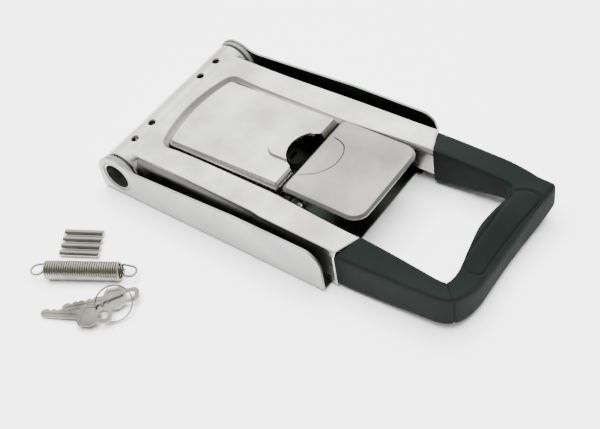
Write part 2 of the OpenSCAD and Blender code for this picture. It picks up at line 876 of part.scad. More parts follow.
module lock_cylinder() color(brass)
    on_lock()
        difference() {
            union() {
                translate([0, 0, -lock_len]) cylinder(r = lock_r, h = lock_len);
                translate([0, 0, -2*collar_z]) cylinder(r = collar_r, h = collar_z);
            }
            translate([0, 0, -lock_len - over]) cylinder(r = plug_r + run_gap, h = lock_len + 2*over);
        }

module cylinder_nut() color(zinc)
    on_lock()
        translate([0, 0, -2*collar_z - bracket_t - nut_t])
            difference() {
                cylinder(r = lock_r + 3, h = nut_t, $fn = 6);
                translate([0, 0, -over]) cylinder(r = lock_r + seat_gap, h = nut_t + 2*over);
            }

module cylinder_plug() color(brass)
    on_lock()
        difference() {
            translate([0, 0, -lock_len - 0.6]) cylinder(r = plug_r, h = lock_len + 0.4);
            translate([-keyway_t/2, -keyway_w/2, -keyway_depth])
                cube([keyway_t, keyway_w, keyway_depth + over]);
        }

module lock_cam() color(zinc)
    on_lock()
        translate([0, 0, -lock_len - 0.6 - cam_t])
            difference() {
                union() {
                    cylinder(r = cam_r, h = cam_t);
                    translate([-cam_reach, -cam_r*0.6, 0]) cube([cam_reach, cam_r*1.2, cam_t]);
                }
                translate([0, 0, -over]) cylinder(r = rivet_r, h = cam_t + 2*over);
            }

module cam_screw() color(zinc)
    on_lock()
        translate([0, 0, -lock_len - 0.6 - cam_t]) {
            cylinder(r = rivet_r, h = cam_t);
            translate([0, 0, -1.6]) cylinder(r = rivet_head_r, h = 1.6, $fn = 6);
        }

module fixing_pins() color(polished)
    for (i = [0:3])
        translate([kit_pin_at[0] + i*kit_pin_step[0], kit_pin_at[1] + i*kit_pin_step[1], pin_d/2])
            rotate([0, 90, kit_pin_turn])
                cylinder(d = pin_d, h = pin_len, center = true);

// Tension spring lying along X, with a loop at each end
module extension_spring() color(spring_steel) {
    r = coil_d/2 - coil_wire/2;
    pitch = coil_wire*0.98;
    span = coil_turns*pitch;
    loop_r = coil_d*0.29;
    translate([coil_at[0], coil_at[1], coil_d/2])
        rotate([0, 0, coil_turn]) {
            rotate([0, 90, 0])
                translate([0, 0, -span/2])
                    rotate_extrude()
                        for (i = [0:coil_turns - 1])
                            translate([r, (i + 0.5)*pitch]) circle(d = coil_wire, $fn = 24);
            for (end = [-1, 1])
                mirror([end < 0 ? 1 : 0, 0, 0]) {
                    reach = loop_len - coil_wire/2 - loop_r;
                    translate([span/2 + reach, 0, 0])
                        rotate([0, 0, -110])
                            rotate_extrude(angle = 220) translate([loop_r, 0]) circle(d = coil_wire, $fn = 24);
                    for (side = [-1, 1])
                        wire([span/2 - coil_wire/2, side*r, 0],
                             [span/2 + reach + loop_r*cos(110), side*loop_r*sin(110), 0], coil_wire);
                }
        }
}

// Outline of a key with its tip at the origin and the bow along +X
module key_outline() {
    shoulder = key_blade;
    end = key_blade + key_bow;
    half = key_bow_w/2;
    tip = key_blade_w/3;
    tab = key_hole_r + key_rim;
    cut_step = key_blade/6;
    side = [[0, key_blade_w*0.2], [tip, key_blade_w/2], [shoulder, key_blade_w/2], [shoulder, half*0.6],
            [shoulder + key_bow*0.1, half], [end - tab*2, half], [end - tab*1.3, tab],
            [end - tab*0.4, tab], [end, tab*0.5]];
    difference() {
        polygon(concat(side, [for (i = [len(side) - 1:-1:0]) [side[i][0], -side[i][1]]]));
        translate([end - tab, 0]) circle(r = key_hole_r);
        for (i = [1:4])
            translate([i*cut_step + tip, key_blade_w/2])
                rotate(45)
                    square(key_blade_w*(i%2 == 0 ? 0.28 : 0.21), center = true);
    }
}

// Key lying with its bow raised on the ring
module key(at, turn, tilt) color(zinc)
    translate([at[0], at[1], 0])
        rotate([0, -tilt, turn])
            linear_extrude(key_t)
                key_outline();

module first_key() key(key_one_at, key_one_turn, key_one_tilt);

module second_key() key(key_two_at, key_two_turn, key_two_tilt);

// Middle of a key's ring hole
function key_hole(at, turn, tilt) =
    let (reach = key_blade + key_bow - key_hole_r - key_rim,
         along = reach*cos(tilt) - key_t/2*sin(tilt),
         up = reach*sin(tilt) + key_t/2*cos(tilt))
    [at[0] + along*cos(turn), at[1] + along*sin(turn), up];

module key_ring() color(zinc) {
    a = key_hole(key_one_at, key_one_turn, key_one_tilt);
    b = key_hole(key_two_at, key_two_turn, key_two_tilt);
    chord = norm(b - a);
    turn = atan2(b[1] - a[1], b[0] - a[0]);
    offset = sqrt(max(0, pow(ring_d/2, 2) - pow(chord/2, 2)));
    translate((a + b)/2)
        rotate([0, 0, turn])
            rotate([ring_tilt, 0, 0])
                translate([0, offset, 0])
                    rotate_extrude() translate([ring_d/2, 0]) circle(d = ring_wire, $fn = 24);
}

tray_floor();
near_wall();
far_wall();
near_bush();
far_bush();
near_striker();
far_striker();
striker_rivets();
lever_frame();
hub_sleeve();
hub_tube();
grip_core();
core_pins();
rubber_grip();
lock_cover();
cover_straps();
strap_rivets();
push_plate();
pivot_pin();
pivot_collars();
push_spring();
hook_shaft();
near_hook();
far_hook();
shaft_clips();
hook_spring();
lock_bracket();
bracket_rivets();
lock_cylinder();
cylinder_nut();
cylinder_plug();
lock_cam();
cam_screw();
fixing_pins();
extension_spring();
first_key();
second_key();
key_ring();
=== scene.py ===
"""Push-button lever latch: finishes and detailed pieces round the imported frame."""
import json
import math

import bmesh
import bpy
import numpy as np
from mathutils import Matrix, Vector


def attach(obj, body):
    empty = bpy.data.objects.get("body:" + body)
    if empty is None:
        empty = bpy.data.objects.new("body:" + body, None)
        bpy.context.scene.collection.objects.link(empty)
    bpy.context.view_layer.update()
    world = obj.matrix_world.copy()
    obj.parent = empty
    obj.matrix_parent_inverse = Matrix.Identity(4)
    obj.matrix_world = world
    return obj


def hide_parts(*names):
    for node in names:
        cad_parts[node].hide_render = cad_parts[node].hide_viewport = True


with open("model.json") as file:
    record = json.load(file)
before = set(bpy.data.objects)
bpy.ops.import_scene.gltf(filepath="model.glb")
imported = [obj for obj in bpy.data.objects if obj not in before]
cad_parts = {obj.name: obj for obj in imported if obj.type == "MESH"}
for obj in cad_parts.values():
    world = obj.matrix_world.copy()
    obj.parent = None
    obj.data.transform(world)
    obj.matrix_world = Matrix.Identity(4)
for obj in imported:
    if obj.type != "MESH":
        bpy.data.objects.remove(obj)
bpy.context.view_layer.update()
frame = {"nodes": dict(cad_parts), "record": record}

# Sizes shared with the solids, in millimetres
MM = 0.001
HUB_Z = 19.5
HUB_JOIN_X = 12.0
SLEEVE_R = 17.2
SLEEVE_HALF = 70.0
TUBE_R = 12.55
PIN_HOLE_R = 2.8
PIN_HOLE_Y = (-50.0, -30.0, 30.0, 50.0)
PLATE_TOP = 35.4
LEVER_T = 2.5
RAIL_EDGE = 1.3
RAIL_W = 20.4
SKIRT_LEAN = 3.8
RAIL_FRONT = 201.0
FRONT_SLANT = 0.4
GRIP_Y = 57.0
SPLAY = math.tan(math.radians(1.1))
WINDOW_HALF = 41.8
LIP_HALF = 40.2
LIP_REAR = 17.0
WINDOW_BOW = 114.0
WINDOW_CORNER = 6.5
SKIRT_LOW = 2.7
FLANGE_LOW = 12.4
COVER_HALF = 39.2
COVER_REAR = 18.0
COVER_FRONT = 128.0
COVER_RISE = 4.6
COVER_BOW = 130.0
COVER_CORNER = 5.0
COVER_DEPTH = 8.0
COVER_T = 2.0
MOON_R = 20.8
MOON_X = 133.8
PUSH_REAR = 131.5
PUSH_FRONT = 200.0
PUSH_HALF = 40.0
PUSH_TOP = 41.0
PUSH_CORNER = 12.0
PIVOT = (143.0, 27.0)
HOOK_AXIS = (124.0, 21.0)
LUG_Y = 34.0
LUG_T = 2.5
TRAY_HALF = 77.5
TRAY_T = 2.0
TRAY_REAR = -18.0
TRAY_FRONT = 191.0
TRAY_BEND = 3.5
EAR_R = 18.0
EAR_HOLE_R = 13.55
WALL_TOP = 37.4
WALL_CORNER = 14.0
NOTCH = 4.0
NOTCH_HALF = 49.5
BOLT_R = 4.25
BOLT_X = (58.0, 154.0)
BOLT_Y = 50.0
FIRST_KEY = ((26.3, -194.8, 0.2), (71.2, -175.3, 5.0))
SECOND_KEY = ((36.9, -184.0, 0.2), (75.1, -151.8, 4.5))
RING_AT = (70.9, -164.0, 6.8)


# Camera and light

def placed(name, data):
    """New object in the scene, at the origin."""
    made = bpy.data.objects.new(name, data)
    bpy.context.scene.collection.objects.link(made)
    return made


def set_inputs(node, values):
    """Sets a node's inputs by name."""
    for label, value in values.items():
        node.inputs[label].default_value = value


def make_camera():
    """Camera at the photograph's angle, from a fitted view."""
    elevation = math.radians(47.63)
    azimuth = math.radians(44.08)
    roll = math.radians(-11.23)
    distance = 825.09 * MM
    target = Vector((133.81, -27.06, 0.0)) * MM
    focal_pixels = 1116.58
    image_width = 600.0
    sensor = 36.0
    back = Vector((math.sin(azimuth) * math.cos(elevation),
                   -math.cos(azimuth) * math.cos(elevation),
                   math.sin(elevation)))
    right = (-back).cross(Vector((0, 0, 1))).normalized()
    up = right.cross(-back)
    rolled_right = right * math.cos(roll) + up * math.sin(roll)
    rolled_up = up * math.cos(roll) - right * math.sin(roll)
    turn = Matrix((rolled_right, rolled_up, back)).transposed()
    data = bpy.data.cameras.new("photo_camera")
    data.sensor_width = sensor
    data.lens = sensor * focal_pixels / image_width
    data.clip_start = 0.01
    camera = placed("photo_camera", data)
    camera.matrix_world = Matrix.Translation(target + back * distance) @ turn.to_4x4()
    bpy.context.scene.camera = camera


def make_light():
    """Studio lit from behind the object: flat tops mirror the bright side, rounded edges the dark one."""
    bright_side = (-0.47, 0.48, 0.74)
    shades = [(-1.0, 0.08), (0.0, 0.13), (0.25, 0.17), (0.5, 0.30), (0.75, 0.55), (0.92, 0.88), (1.0, 1.0)]
    warmth = 0.985
    world = bpy.data.worlds.new("studio")
    bpy.context.scene.world = world
    world.use_nodes = True
    nodes = world.node_tree.nodes
    links = world.node_tree.links
    background = nodes["Background"]
    coordinate = nodes.new("ShaderNodeTexCoord")
    patches = nodes.new("ShaderNodeTexNoise")
    set_inputs(patches, {"Scale": 3.6, "Detail": 1.5})
    strength = nodes.new("ShaderNodeMapRange")
    set_inputs(strength, {"From Min": 0.32, "From Max": 0.68, "To Min": 2.3, "To Max": 5.0})
    facing = nodes.new("ShaderNodeVectorMath")
    facing.operation = "DOT_PRODUCT"
    facing.inputs[1].default_value = bright_side
    share = nodes.new("ShaderNodeMapRange")
    share.inputs["From Min"].default_value = -1.0
    ramp = nodes.new("ShaderNodeValToRGB")
    elements = ramp.color_ramp.elements
    elements[0].position = 0.0
    elements[1].position = 1.0
    for place, _ in shades[1:-1]:
        elements.new((place + 1.0) / 2.0)
    for element, (_, shade) in zip(elements, shades):
        element.color = (shade, shade, shade * warmth, 1)
    links.new(coordinate.outputs["Generated"], patches.inputs["Vector"])
    links.new(patches.outputs["Fac"], strength.inputs["Value"])
    links.new(strength.outputs["Result"], background.inputs["Strength"])
    links.new(coordinate.outputs["Generated"], facing.inputs[0])
    links.new(facing.outputs["Value"], share.inputs["Value"])
    links.new(share.outputs["Result"], ramp.inputs[0])
    links.new(ramp.outputs["Color"], background.inputs["Color"])
    data = bpy.data.lights.new("top_light", "AREA")
    data.shape = "SQUARE"
    data.size = 1.6
    data.energy = 120
    top_light = placed("top_light", data)
    top_light.location = (0.05, 0.1, 1.5)
    top_light.visible_glossy = False


def make_floor():
    """Plain pale floor under the object."""
    half = 6.0
    gap = 0.0002
    mesh = bpy.data.meshes.new("floor")
    corners = [(-half, -half, -gap), (half, -half, -gap), (half, half, -gap), (-half, half, -gap)]
    mesh.from_pydata(corners, [], [(0, 1, 2, 3)])
    floor = placed("floor", mesh)
    material = bpy.data.materials.new("pale_floor")
    material.use_nodes = True
    shader = material.node_tree.nodes["Principled BSDF"]
    set_inputs(shader, {"Base Color": (0.93, 0.93, 0.93, 1), "Roughness": 0.9, "Specular IOR Level": 0.1})
    mesh.materials.append(material)


# Finishes

SURFACE = [("Color", "NodeSocketColor"), ("Roughness", "NodeSocketFloat"), ("Height", "NodeSocketFloat")]


def new_group(name, inputs, outputs):
    """Shader node group with named sockets; returns the group and its two end nodes."""
    group = bpy.data.node_groups.new(name, "ShaderNodeTree")
    for label, kind, value in inputs:
        socket = group.interface.new_socket(name=label, in_out="INPUT", socket_type=kind)
        socket.default_value = value
    for label, kind in outputs:
        group.interface.new_socket(name=label, in_out="OUTPUT", socket_type=kind)
    return group, group.nodes.new("NodeGroupInput"), group.nodes.new("NodeGroupOutput")


def noise(group, vector, scale, detail):
    """Noise texture in a group, fed by a vector output."""
    node = group.nodes.new("ShaderNodeTexNoise")
    set_inputs(node, {"Scale": scale, "Detail": detail})
    group.links.new(vector, node.inputs["Vector"])
    return node.outputs["Fac"]


def spread(group, source, low, high):
    """Maps a 0 to 1 value to a range given by two sockets."""
    node = group.nodes.new("ShaderNodeMapRange")
    group.links.new(source, node.inputs["Value"])
    group.links.new(low, node.inputs["To Min"])
    group.links.new(high, node.inputs["To Max"])
    return node.outputs["Result"]


def maths(group, operation, *sources):
    """Sum, product or comparison of outputs, taken in order."""
    node = group.nodes.new("ShaderNodeMath")
    node.operation = operation
    for source, socket in zip(sources, node.inputs):
        group.links.new(source, socket)
    return node.outputs[0]


def mixed(group, factor, first, second):
    """Colour between two colours."""
    node = group.nodes.new("ShaderNodeMix")
    node.data_type = "RGBA"
    group.links.new(factor, node.inputs["Factor"])
    group.links.new(first, node.inputs["A"])
    group.links.new(second, node.inputs["B"])
    return node.outputs["Result"]


def handled_metal():
    """Sheet metal with cloudy polish, drawn grain and fine scratches."""
    group, start, end = new_group(
        "handled_metal",
        [("Light Tint", "NodeSocketColor", (0.8, 0.8, 0.78, 1)),
         ("Dull Tint", "NodeSocketColor", (0.6, 0.6, 0.58, 1)),
         ("Low Roughness", "NodeSocketFloat", 0.15),
         ("High Roughness", "NodeSocketFloat", 0.3),
         ("Grain", "NodeSocketFloat", 0.5)],
        SURFACE)
    place = group.nodes.new("ShaderNodeTexCoord").outputs["Object"]
    stretch = group.nodes.new("ShaderNodeMapping")
    set_inputs(stretch, {"Scale": (1.0, 26.0, 26.0)})
    group.links.new(place, stretch.inputs["Vector"])
    cloud = group.nodes.new("ShaderNodeMapRange")
    set_inputs(cloud, {"From Min": 0.34, "From Max": 0.66})
    group.links.new(noise(group, place, 28.0, 4.0), cloud.inputs["Value"])
    haze = cloud.outputs["Result"]
    grain = noise(group, stretch.outputs["Vector"], 60.0, 3.0)
    speck = noise(group, place, 420.0, 2.0)
    tint = mixed(group, haze, start.outputs["Light Tint"], start.outputs["Dull Tint"])
    wear = maths(group, "MULTIPLY_ADD", grain, start.outputs["Grain"], haze)
    rough = spread(group, wear, start.outputs["Low Roughness"], start.outputs["High Roughness"])
    height = maths(group, "MULTIPLY_ADD", grain, start.outputs["Grain"], speck)
    group.links.new(tint, end.inputs["Color"])
    group.links.new(rough, end.inputs["Roughness"])
    group.links.new(height, end.inputs["Height"])
    return group


def moulded_skin():
    """Moulded rubber or plastic: fine leathery grain and a dusty, uneven tone."""
    group, start, end = new_group(
        "moulded_skin",
        [("Dark Tint", "NodeSocketColor", (0.03, 0.04, 0.04, 1)),
         ("Worn Tint", "NodeSocketColor", (0.06, 0.07, 0.07, 1)),
         ("Low Roughness", "NodeSocketFloat", 0.5),
         ("High Roughness", "NodeSocketFloat", 0.75)],
        SURFACE)
    place = group.nodes.new("ShaderNodeTexCoord").outputs["Object"]
    dust = noise(group, place, 45.0, 5.0)
    skin = noise(group, place, 900.0, 3.0)
    tint = mixed(group, dust, start.outputs["Dark Tint"], start.outputs["Worn Tint"])
    rough = spread(group, dust, start.outputs["Low Roughness"], start.outputs["High Roughness"])
    group.links.new(tint, end.inputs["Color"])
    group.links.new(rough, end.inputs["Roughness"])
    group.links.new(skin, end.inputs["Height"])
    return group


def shaded_inside():
    """Painted shade: tint that turns dark inside the tray, standing in for the shade and dark reflections
    there.
    """
    group, start, end = new_group(
        "shaded_inside",
        [("Color", "NodeSocketColor", (0.7, 0.7, 0.7, 1)),
         ("Painted Shade Tint", "NodeSocketColor", (0.05, 0.06, 0.05, 1)),
         ("Half Width", "NodeSocketFloat", 0.0757),
         ("Floor Height", "NodeSocketFloat", 0.001)],
        [("Color", "NodeSocketColor")])
    place = group.nodes.new("ShaderNodeTexCoord")
    split = group.nodes.new("ShaderNodeSeparateXYZ")
    group.links.new(place.outputs["Object"], split.inputs[0])
    across = maths(group, "ABSOLUTE", split.outputs["Y"])
    between = maths(group, "LESS_THAN", across, start.outputs["Half Width"])
    above = maths(group, "GREATER_THAN", split.outputs["Z"], start.outputs["Floor Height"])
    inside = maths(group, "MULTIPLY", between, above)
    tint = mixed(group, inside, start.outputs["Color"], start.outputs["Painted Shade Tint"])
    group.links.new(tint, end.inputs["Color"])
    return group


METAL = handled_metal()
SKIN = moulded_skin()


def finish(name, group, values, metallic, bump, gloss=0.5):
    """Material whose colour, roughness and bump come from a shared group."""
    material = bpy.data.materials.new(name)
    material.use_nodes = True
    tree = material.node_tree
    shader = tree.nodes["Principled BSDF"]
    set_inputs(shader, {"Metallic": metallic, "Specular IOR Level": gloss})
    effect = tree.nodes.new("ShaderNodeGroup")
    effect.node_tree = group
    set_inputs(effect, values)
    ridge = tree.nodes.new("ShaderNodeBump")
    set_inputs(ridge, {"Strength": bump, "Distance": 0.2 * MM})
    tree.links.new(effect.outputs["Color"], shader.inputs["Base Color"])
    tree.links.new(effect.outputs["Roughness"], shader.inputs["Roughness"])
    tree.links.new(effect.outputs["Height"], ridge.inputs["Height"])
    tree.links.new(ridge.outputs["Normal"], shader.inputs["Normal"])
    return material


def metal_finish(name, light, dull, low, high, grain, bump):
    """Metal finish from two tints and a roughness range."""
    return finish(name, METAL,
                  {"Light Tint": (*light, 1), "Dull Tint": (*dull, 1), "Low Roughness": low,
                   "High Roughness": high, "Grain": grain}, 1.0, bump)


POLISHED = metal_finish("polished_sheet", (0.64, 0.635, 0.61), (0.43, 0.425, 0.40), 0.16, 0.34, 0.3, 0.03)
PRESSED = metal_finish("pressed_plate", (0.32, 0.315, 0.30), (0.24, 0.235, 0.22), 0.26, 0.42, 0.3, 0.03)
SATIN = metal_finish("satin_sheet", (0.36, 0.36, 0.355), (0.30, 0.30, 0.295), 0.26, 0.42, 0.5, 0.05)
PLATED = metal_finish("plated_steel", (0.16, 0.165, 0.15), (0.10, 0.105, 0.095), 0.25, 0.45, 0.4, 0.05)
# Near-black greenish tint for the zinc steel mechanism under the lever: painted shade, not the parts' own
# colour.
SHADE_PAINTED_STEEL = metal_finish("shade_painted_steel", (0.040, 0.046, 0.040), (0.022, 0.026, 0.022), 0.3, 0.5, 0.4, 0.05)
DRAWN = metal_finish("drawn_wire", (0.34, 0.325, 0.28), (0.22, 0.21, 0.175), 0.12, 0.28, 0.6, 0.05)
# Lock brass darkened to near black: painted shade for the lock sitting deep in its recess.
SHADED_BRASS = metal_finish("turned_brass_painted_shade", (0.030, 0.033, 0.022), (0.020, 0.022, 0.015), 0.3, 0.5, 0.5, 0.05)
NICKEL = metal_finish("nickel_plate", (0.33, 0.32, 0.285), (0.12, 0.117, 0.10), 0.10, 0.24, 0.3, 0.05)
GROUND = metal_finish("ground_steel", (0.32, 0.31, 0.285), (0.22, 0.215, 0.195), 0.06, 0.16, 0.5, 0.03)
RUBBER = finish("grip_rubber", SKIN,
                {"Dark Tint": (0.0034, 0.0050, 0.0046, 1), "Worn Tint": (0.0070, 0.0094, 0.0087, 1),
                 "Low Roughness": 0.6, "High Roughness": 0.8}, 0.0, 0.14, 0.08)
NYLON = finish("bush_nylon", SKIN,
               {"Dark Tint": (0.09, 0.09, 0.085, 1), "Worn Tint": (0.13, 0.13, 0.122, 1),
                "Low Roughness": 0.35, "High Roughness": 0.55}, 0.0, 0.08)
TRAY = metal_finish("tray_sheet", (0.36, 0.36, 0.355), (0.30, 0.30, 0.295), 0.26, 0.42, 0.5, 0.05)


def darken_inside(material):
    """Puts the painted shade tint for the tray's inside between a material's colour and its shader."""
    tree = material.node_tree
    shader = tree.nodes["Principled BSDF"]
    source = shader.inputs["Base Color"].links[0].from_socket
    effect = tree.nodes.new("ShaderNodeGroup")
    effect.node_tree = shaded_inside()
    tree.links.new(source, effect.inputs["Color"])
    tree.links.new(effect.outputs["Color"], shader.inputs["Base Color"])


# The tray's inner faces get a painted shade tint.
darken_inside(TRAY)

FINISH_OF_SLOT = {"polished_steel": POLISHED, "satin_steel": SATIN, "zinc_steel": SHADE_PAINTED_STEEL,
                  "spring_steel": DRAWN, "key_metal": NICKEL, "lock_brass": SHADED_BRASS,
                  "bush_plastic": NYLON, "grip_rubber": RUBBER}


# Making and finishing meshes

def arc(centre, radius, start, end, steps):
    """Points along an arc with their outward directions; angles in degrees."""
    points = []
    for i in range(steps + 1):
        a = math.radians(start + (end - start) * i / steps)
        d = (math.cos(a), math.sin(a))
        points.append((centre[0] + radius * d[0], centre[1] + radius * d[1], d[0], d[1]))
    return points


def arc_points(centre, radius, start, end, steps):
    """Points along an arc, without directions."""
    return [(x, y) for x, y, _, _ in arc(centre, radius, start, end, steps)]


def with_mirror(path):
    """A path that ends on the middle line, carried on to the far side."""
    return path + [(x, -y, dx, -dy) for x, y, dx, dy in reversed(path[:-1])]


def bowed_end(rear, bow, half, corner):
    """Bowed rear end with round corners: the bow's centre, its turn in degrees and the corners' centre."""
    centre_x = rear + bow
    turn = math.degrees(math.asin((half - corner) / (bow - corner)))
    corner_x = centre_x - (bow - corner) * math.cos(math.radians(turn))
    return centre_x, turn, corner_x


def strip(bm, rows):
    """Quads between neighbouring rows of points."""
    made = [[bm.verts.new(p) for p in row] for row in rows]
    for a, b in zip(made, made[1:]):
        for i in range(len(a) - 1):
            bm.faces.new((a[i], a[i + 1], b[i + 1], b[i]))


def flat(bm, points):
    """One face through points, cut into triangles."""
    face = bm.faces.new([bm.verts.new(p) for p in points])
    face.normal_update()
    bmesh.ops.triangulate(bm, faces=[face])


def smooth(t):
    """Soft step from 0 to 1."""
    t = min(max(t, 0.0), 1.0)
    return t * t * (3 - 2 * t)


def face_outward(bm):
    """Turns all faces over if most of the surface faces its own middle."""
    area = sum(f.calc_area() for f in bm.faces)
    middle = sum((f.calc_center_median() * f.calc_area() for f in bm.faces), Vector()) / area
    outward = sum(f.normal.dot(f.calc_center_median() - middle) * f.calc_area() for f in bm.faces)
    if outward < 0:
        bmesh.ops.reverse_faces(bm, faces=bm.faces)


def mesh_object(name, bm, finish_material, sharp=50):
    """Object at the origin from a bmesh in millimetres."""
    bmesh.ops.remove_doubles(bm, verts=bm.verts, dist=0.002)
    bmesh.ops.recalc_face_normals(bm, faces=bm.faces)
    face_outward(bm)
    bmesh.ops.scale(bm, vec=(MM, MM, MM), verts=bm.verts)
    mesh = bpy.data.meshes.new(name)
    bm.to_mesh(mesh)
    bm.free()
    mesh.polygons.foreach_set("use_smooth", [True] * len(mesh.polygons))
    mesh.set_sharp_from_angle(angle=math.radians(sharp))
    mesh.materials.append(finish_material)
    return placed(name, mesh)


def thicken(piece, thickness, even=True):
    """Gives an open sheet its thickness, inwards."""
    wall = piece.modifiers.new("sheet", "SOLIDIFY")
    wall.thickness = thickness * MM
    wall.offset = -1
    wall.use_even_offset = even


def soften(piece, width, segments=2, angle=40):
    """Rounds the sharp edges and evens out the shading."""
    bevel = piece.modifiers.new("edges", "BEVEL")
    bevel.width = width * MM
    bevel.segments = segments
    bevel.limit_method = "ANGLE"
    bevel.angle_limit = math.radians(angle)
    bevel.use_clamp_overlap = True
    even = piece.modifiers.new("shading", "WEIGHTED_NORMAL")
    even.keep_sharp = False


def stand(piece, body, slot, *nodes):
    """The piece rides on a body and stands for solids, which it hides; the slot is not used."""
    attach(piece, body)
    if nodes:
        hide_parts(*nodes)


def edged_copy(node, body, slot, width, segments=2):
    """Copy of a solid with rounded edges."""
    bm = bmesh.new()
    bm.from_mesh(frame["nodes"][node].data)
    bmesh.ops.scale(bm, vec=(1 / MM,) * 3, verts=bm.verts)
    bmesh.ops.remove_doubles(bm, verts=bm.verts, dist=0.005)
    bmesh.ops.dissolve_limit(bm, angle_limit=math.radians(0.6), verts=bm.verts, edges=bm.edges)
    piece = mesh_object(node + "_edged", bm, FINISH_OF_SLOT[slot])
    soften(piece, width, segments)
    stand(piece, body, slot, node)
    return piece


def lathe(bm, profile, centre, axis, steps=96):
    """Closed ring of a profile of (radius, height) pairs about an axis."""
    along = Vector(axis).normalized()
    side = along.orthogonal().normalized()
    other = along.cross(side)
    rows = []
    for i in range(steps + 1):
        a = 2 * math.pi * i / steps
        d = side * math.cos(a) + other * math.sin(a)
        rows.append([Vector(centre) + d * r + along * h for r, h in profile])
    strip(bm, rows)


def filled(bm, loops):
    """Flat face inside the first loop of points with the other loops as holes."""
    edges = []
    for loop in loops:
        made = [bm.verts.new(p) for p in loop]
        edges += [bm.edges.new((made[i], made[(i + 1) % len(made)])) for i in range(len(made))]
    return bmesh.ops.triangle_fill(bm, use_beauty=True, use_dissolve=False, edges=edges)


# The tray's bent sheet

def wall_outline():
    """Side outline of a wall above its bend, from the lower rear to the lower front."""
    ear_exit = 62.0
    sweep_r = 30.0
    climb = 3.4
    a = math.radians(ear_exit)
    end = (EAR_R * math.cos(a), HUB_Z + EAR_R * math.sin(a))
    fall = 90 - ear_exit
    b = math.radians(fall)
    centre = (end[0] + sweep_r * math.sin(b), end[1] + sweep_r * math.cos(b))
    points = [(TRAY_REAR, TRAY_BEND)]
    points += arc_points((0, HUB_Z), EAR_R, 180, ear_exit, 36)
    points += arc_points(centre, sweep_r, 270 - fall, 270 + climb, 12)[1:]
    start = points[-1]
    points.append((start[0] + (WALL_TOP - start[1]) / math.tan(math.radians(climb)), WALL_TOP))
    corner = (TRAY_FRONT - WALL_CORNER, WALL_TOP - WALL_CORNER)
    points += arc_points(corner, WALL_CORNER, 90, 0, 16)
    points.append((TRAY_FRONT, TRAY_BEND))
    return points


def tray_sheet():
    """The tray: floor, rounded bends and two walls with ears, from one bent sheet."""
    bm = bmesh.new()
    inner = TRAY_HALF - TRAY_BEND
    steps = 6
    outline = wall_outline()
    for side in (-1, 1):
        ear_hole = [(x, side * TRAY_HALF, z) for x, z in arc_points((0, HUB_Z), EAR_HOLE_R, 0, 355, 71)]
        filled(bm, [[(x, side * TRAY_HALF, z) for x, z in outline], ear_hole])
        rows = []
        for x in (TRAY_REAR, TRAY_FRONT):
            turns = [math.pi / 2 * i / steps for i in range(steps + 1)]
            rows.append([(x, side * (inner + TRAY_BEND * math.cos(a)), TRAY_BEND - TRAY_BEND * math.sin(a))
                         for a in turns])
        strip(bm, rows)
    floor = [(TRAY_REAR, -inner, 0), (TRAY_FRONT, -inner, 0), (TRAY_FRONT, -NOTCH_HALF, 0),
             (TRAY_FRONT - NOTCH, -NOTCH_HALF, 0), (TRAY_FRONT - NOTCH, NOTCH_HALF, 0),
             (TRAY_FRONT, NOTCH_HALF, 0), (TRAY_FRONT, inner, 0), (TRAY_REAR, inner, 0)]
    holes = [[(x, y, 0) for x, y in arc_points((cx, cy), BOLT_R, 0, 350, 35)]
             for cx in BOLT_X for cy in (-BOLT_Y, BOLT_Y)]
    filled(bm, [floor] + holes)
    piece = mesh_object("tray_bent_sheet", bm, TRAY, sharp=60)
    thicken(piece, TRAY_T)
    soften(piece, 0.4, 3)
    stand(piece, "base", "satin_steel", "tray_floor", "near_wall", "far_wall")


# The lever's bent sheet

def rail_inner(x):
    """Distance of the window's side from the middle."""
    return WINDOW_HALF + x * SPLAY


def rail_outer(x, side=-1):
    """Distance of a rail's outer side from the middle, with the step pressed into the near one."""
    step_at, step_len = (122.0, 11.0) if side < 0 else (60.0, 75.0)
    step = 1.0
    clear = 0.2
    flare_end, flare_len = 55.0, 45.0
    flare = smooth((flare_end - x) / flare_len)
    return rail_inner(x) + RAIL_W + clear + flare + step * smooth((x - step_at) / step_len)


def front_x(y):
    """Slanted front end of the rails."""
    return RAIL_FRONT + FRONT_SLANT * (GRIP_Y - abs(y))


def lip_half(x):
    """Distance of the window's rolled lip from the middle, widest at the two ends."""
    wider, flare_at, flare_len = 4.6, 118.0, 90.0
    rear_end, rear_len = 60.0, 40.0
    flare = wider * smooth((x - flare_at) / flare_len)
    rear_room = smooth((rear_end - x) / rear_len)
    return LIP_HALF + flare + rear_room


def lip_bend(x):
    """Bend radius of the window's lip, largest along the rear bow."""
    side_bend, more = 3.4, 1.8
    rear_end, rear_len = 34.0, 12.0
    return side_bend + more * smooth((rear_end - x) / rear_len)


def lip_spread(x):
    """How far the lip's flange leans back below the bend, out to the rail's inner side."""
    start, length = 30.0, 10.0
    return max(rail_inner(x) - lip_half(x), 0.0) * smooth((x - start) / length)


def window_path():
    """Edge of the window from the near front to the far front, with directions into the window."""
    half = lip_half(LIP_REAR)
    centre_x, turn, corner_x = bowed_end(LIP_REAR, WINDOW_BOW, half, WINDOW_CORNER)
    corner = (corner_x, -(half - WINDOW_CORNER))
    front = front_x(lip_half(RAIL_FRONT))
    path = []
    for i in range(24):
        x = front + (corner_x - front) * i / 24
        path.append((x, -lip_half(x), 0.0, 1.0))
    rear = arc(corner, WINDOW_CORNER, 270, 180 + turn, 8)
    rear += arc((centre_x, 0), WINDOW_BOW, 180 + turn, 180 - turn, 24)[1:13]
    path += [(x, y, -dx, -dy) for x, y, dx, dy in rear]
    return with_mirror(path)


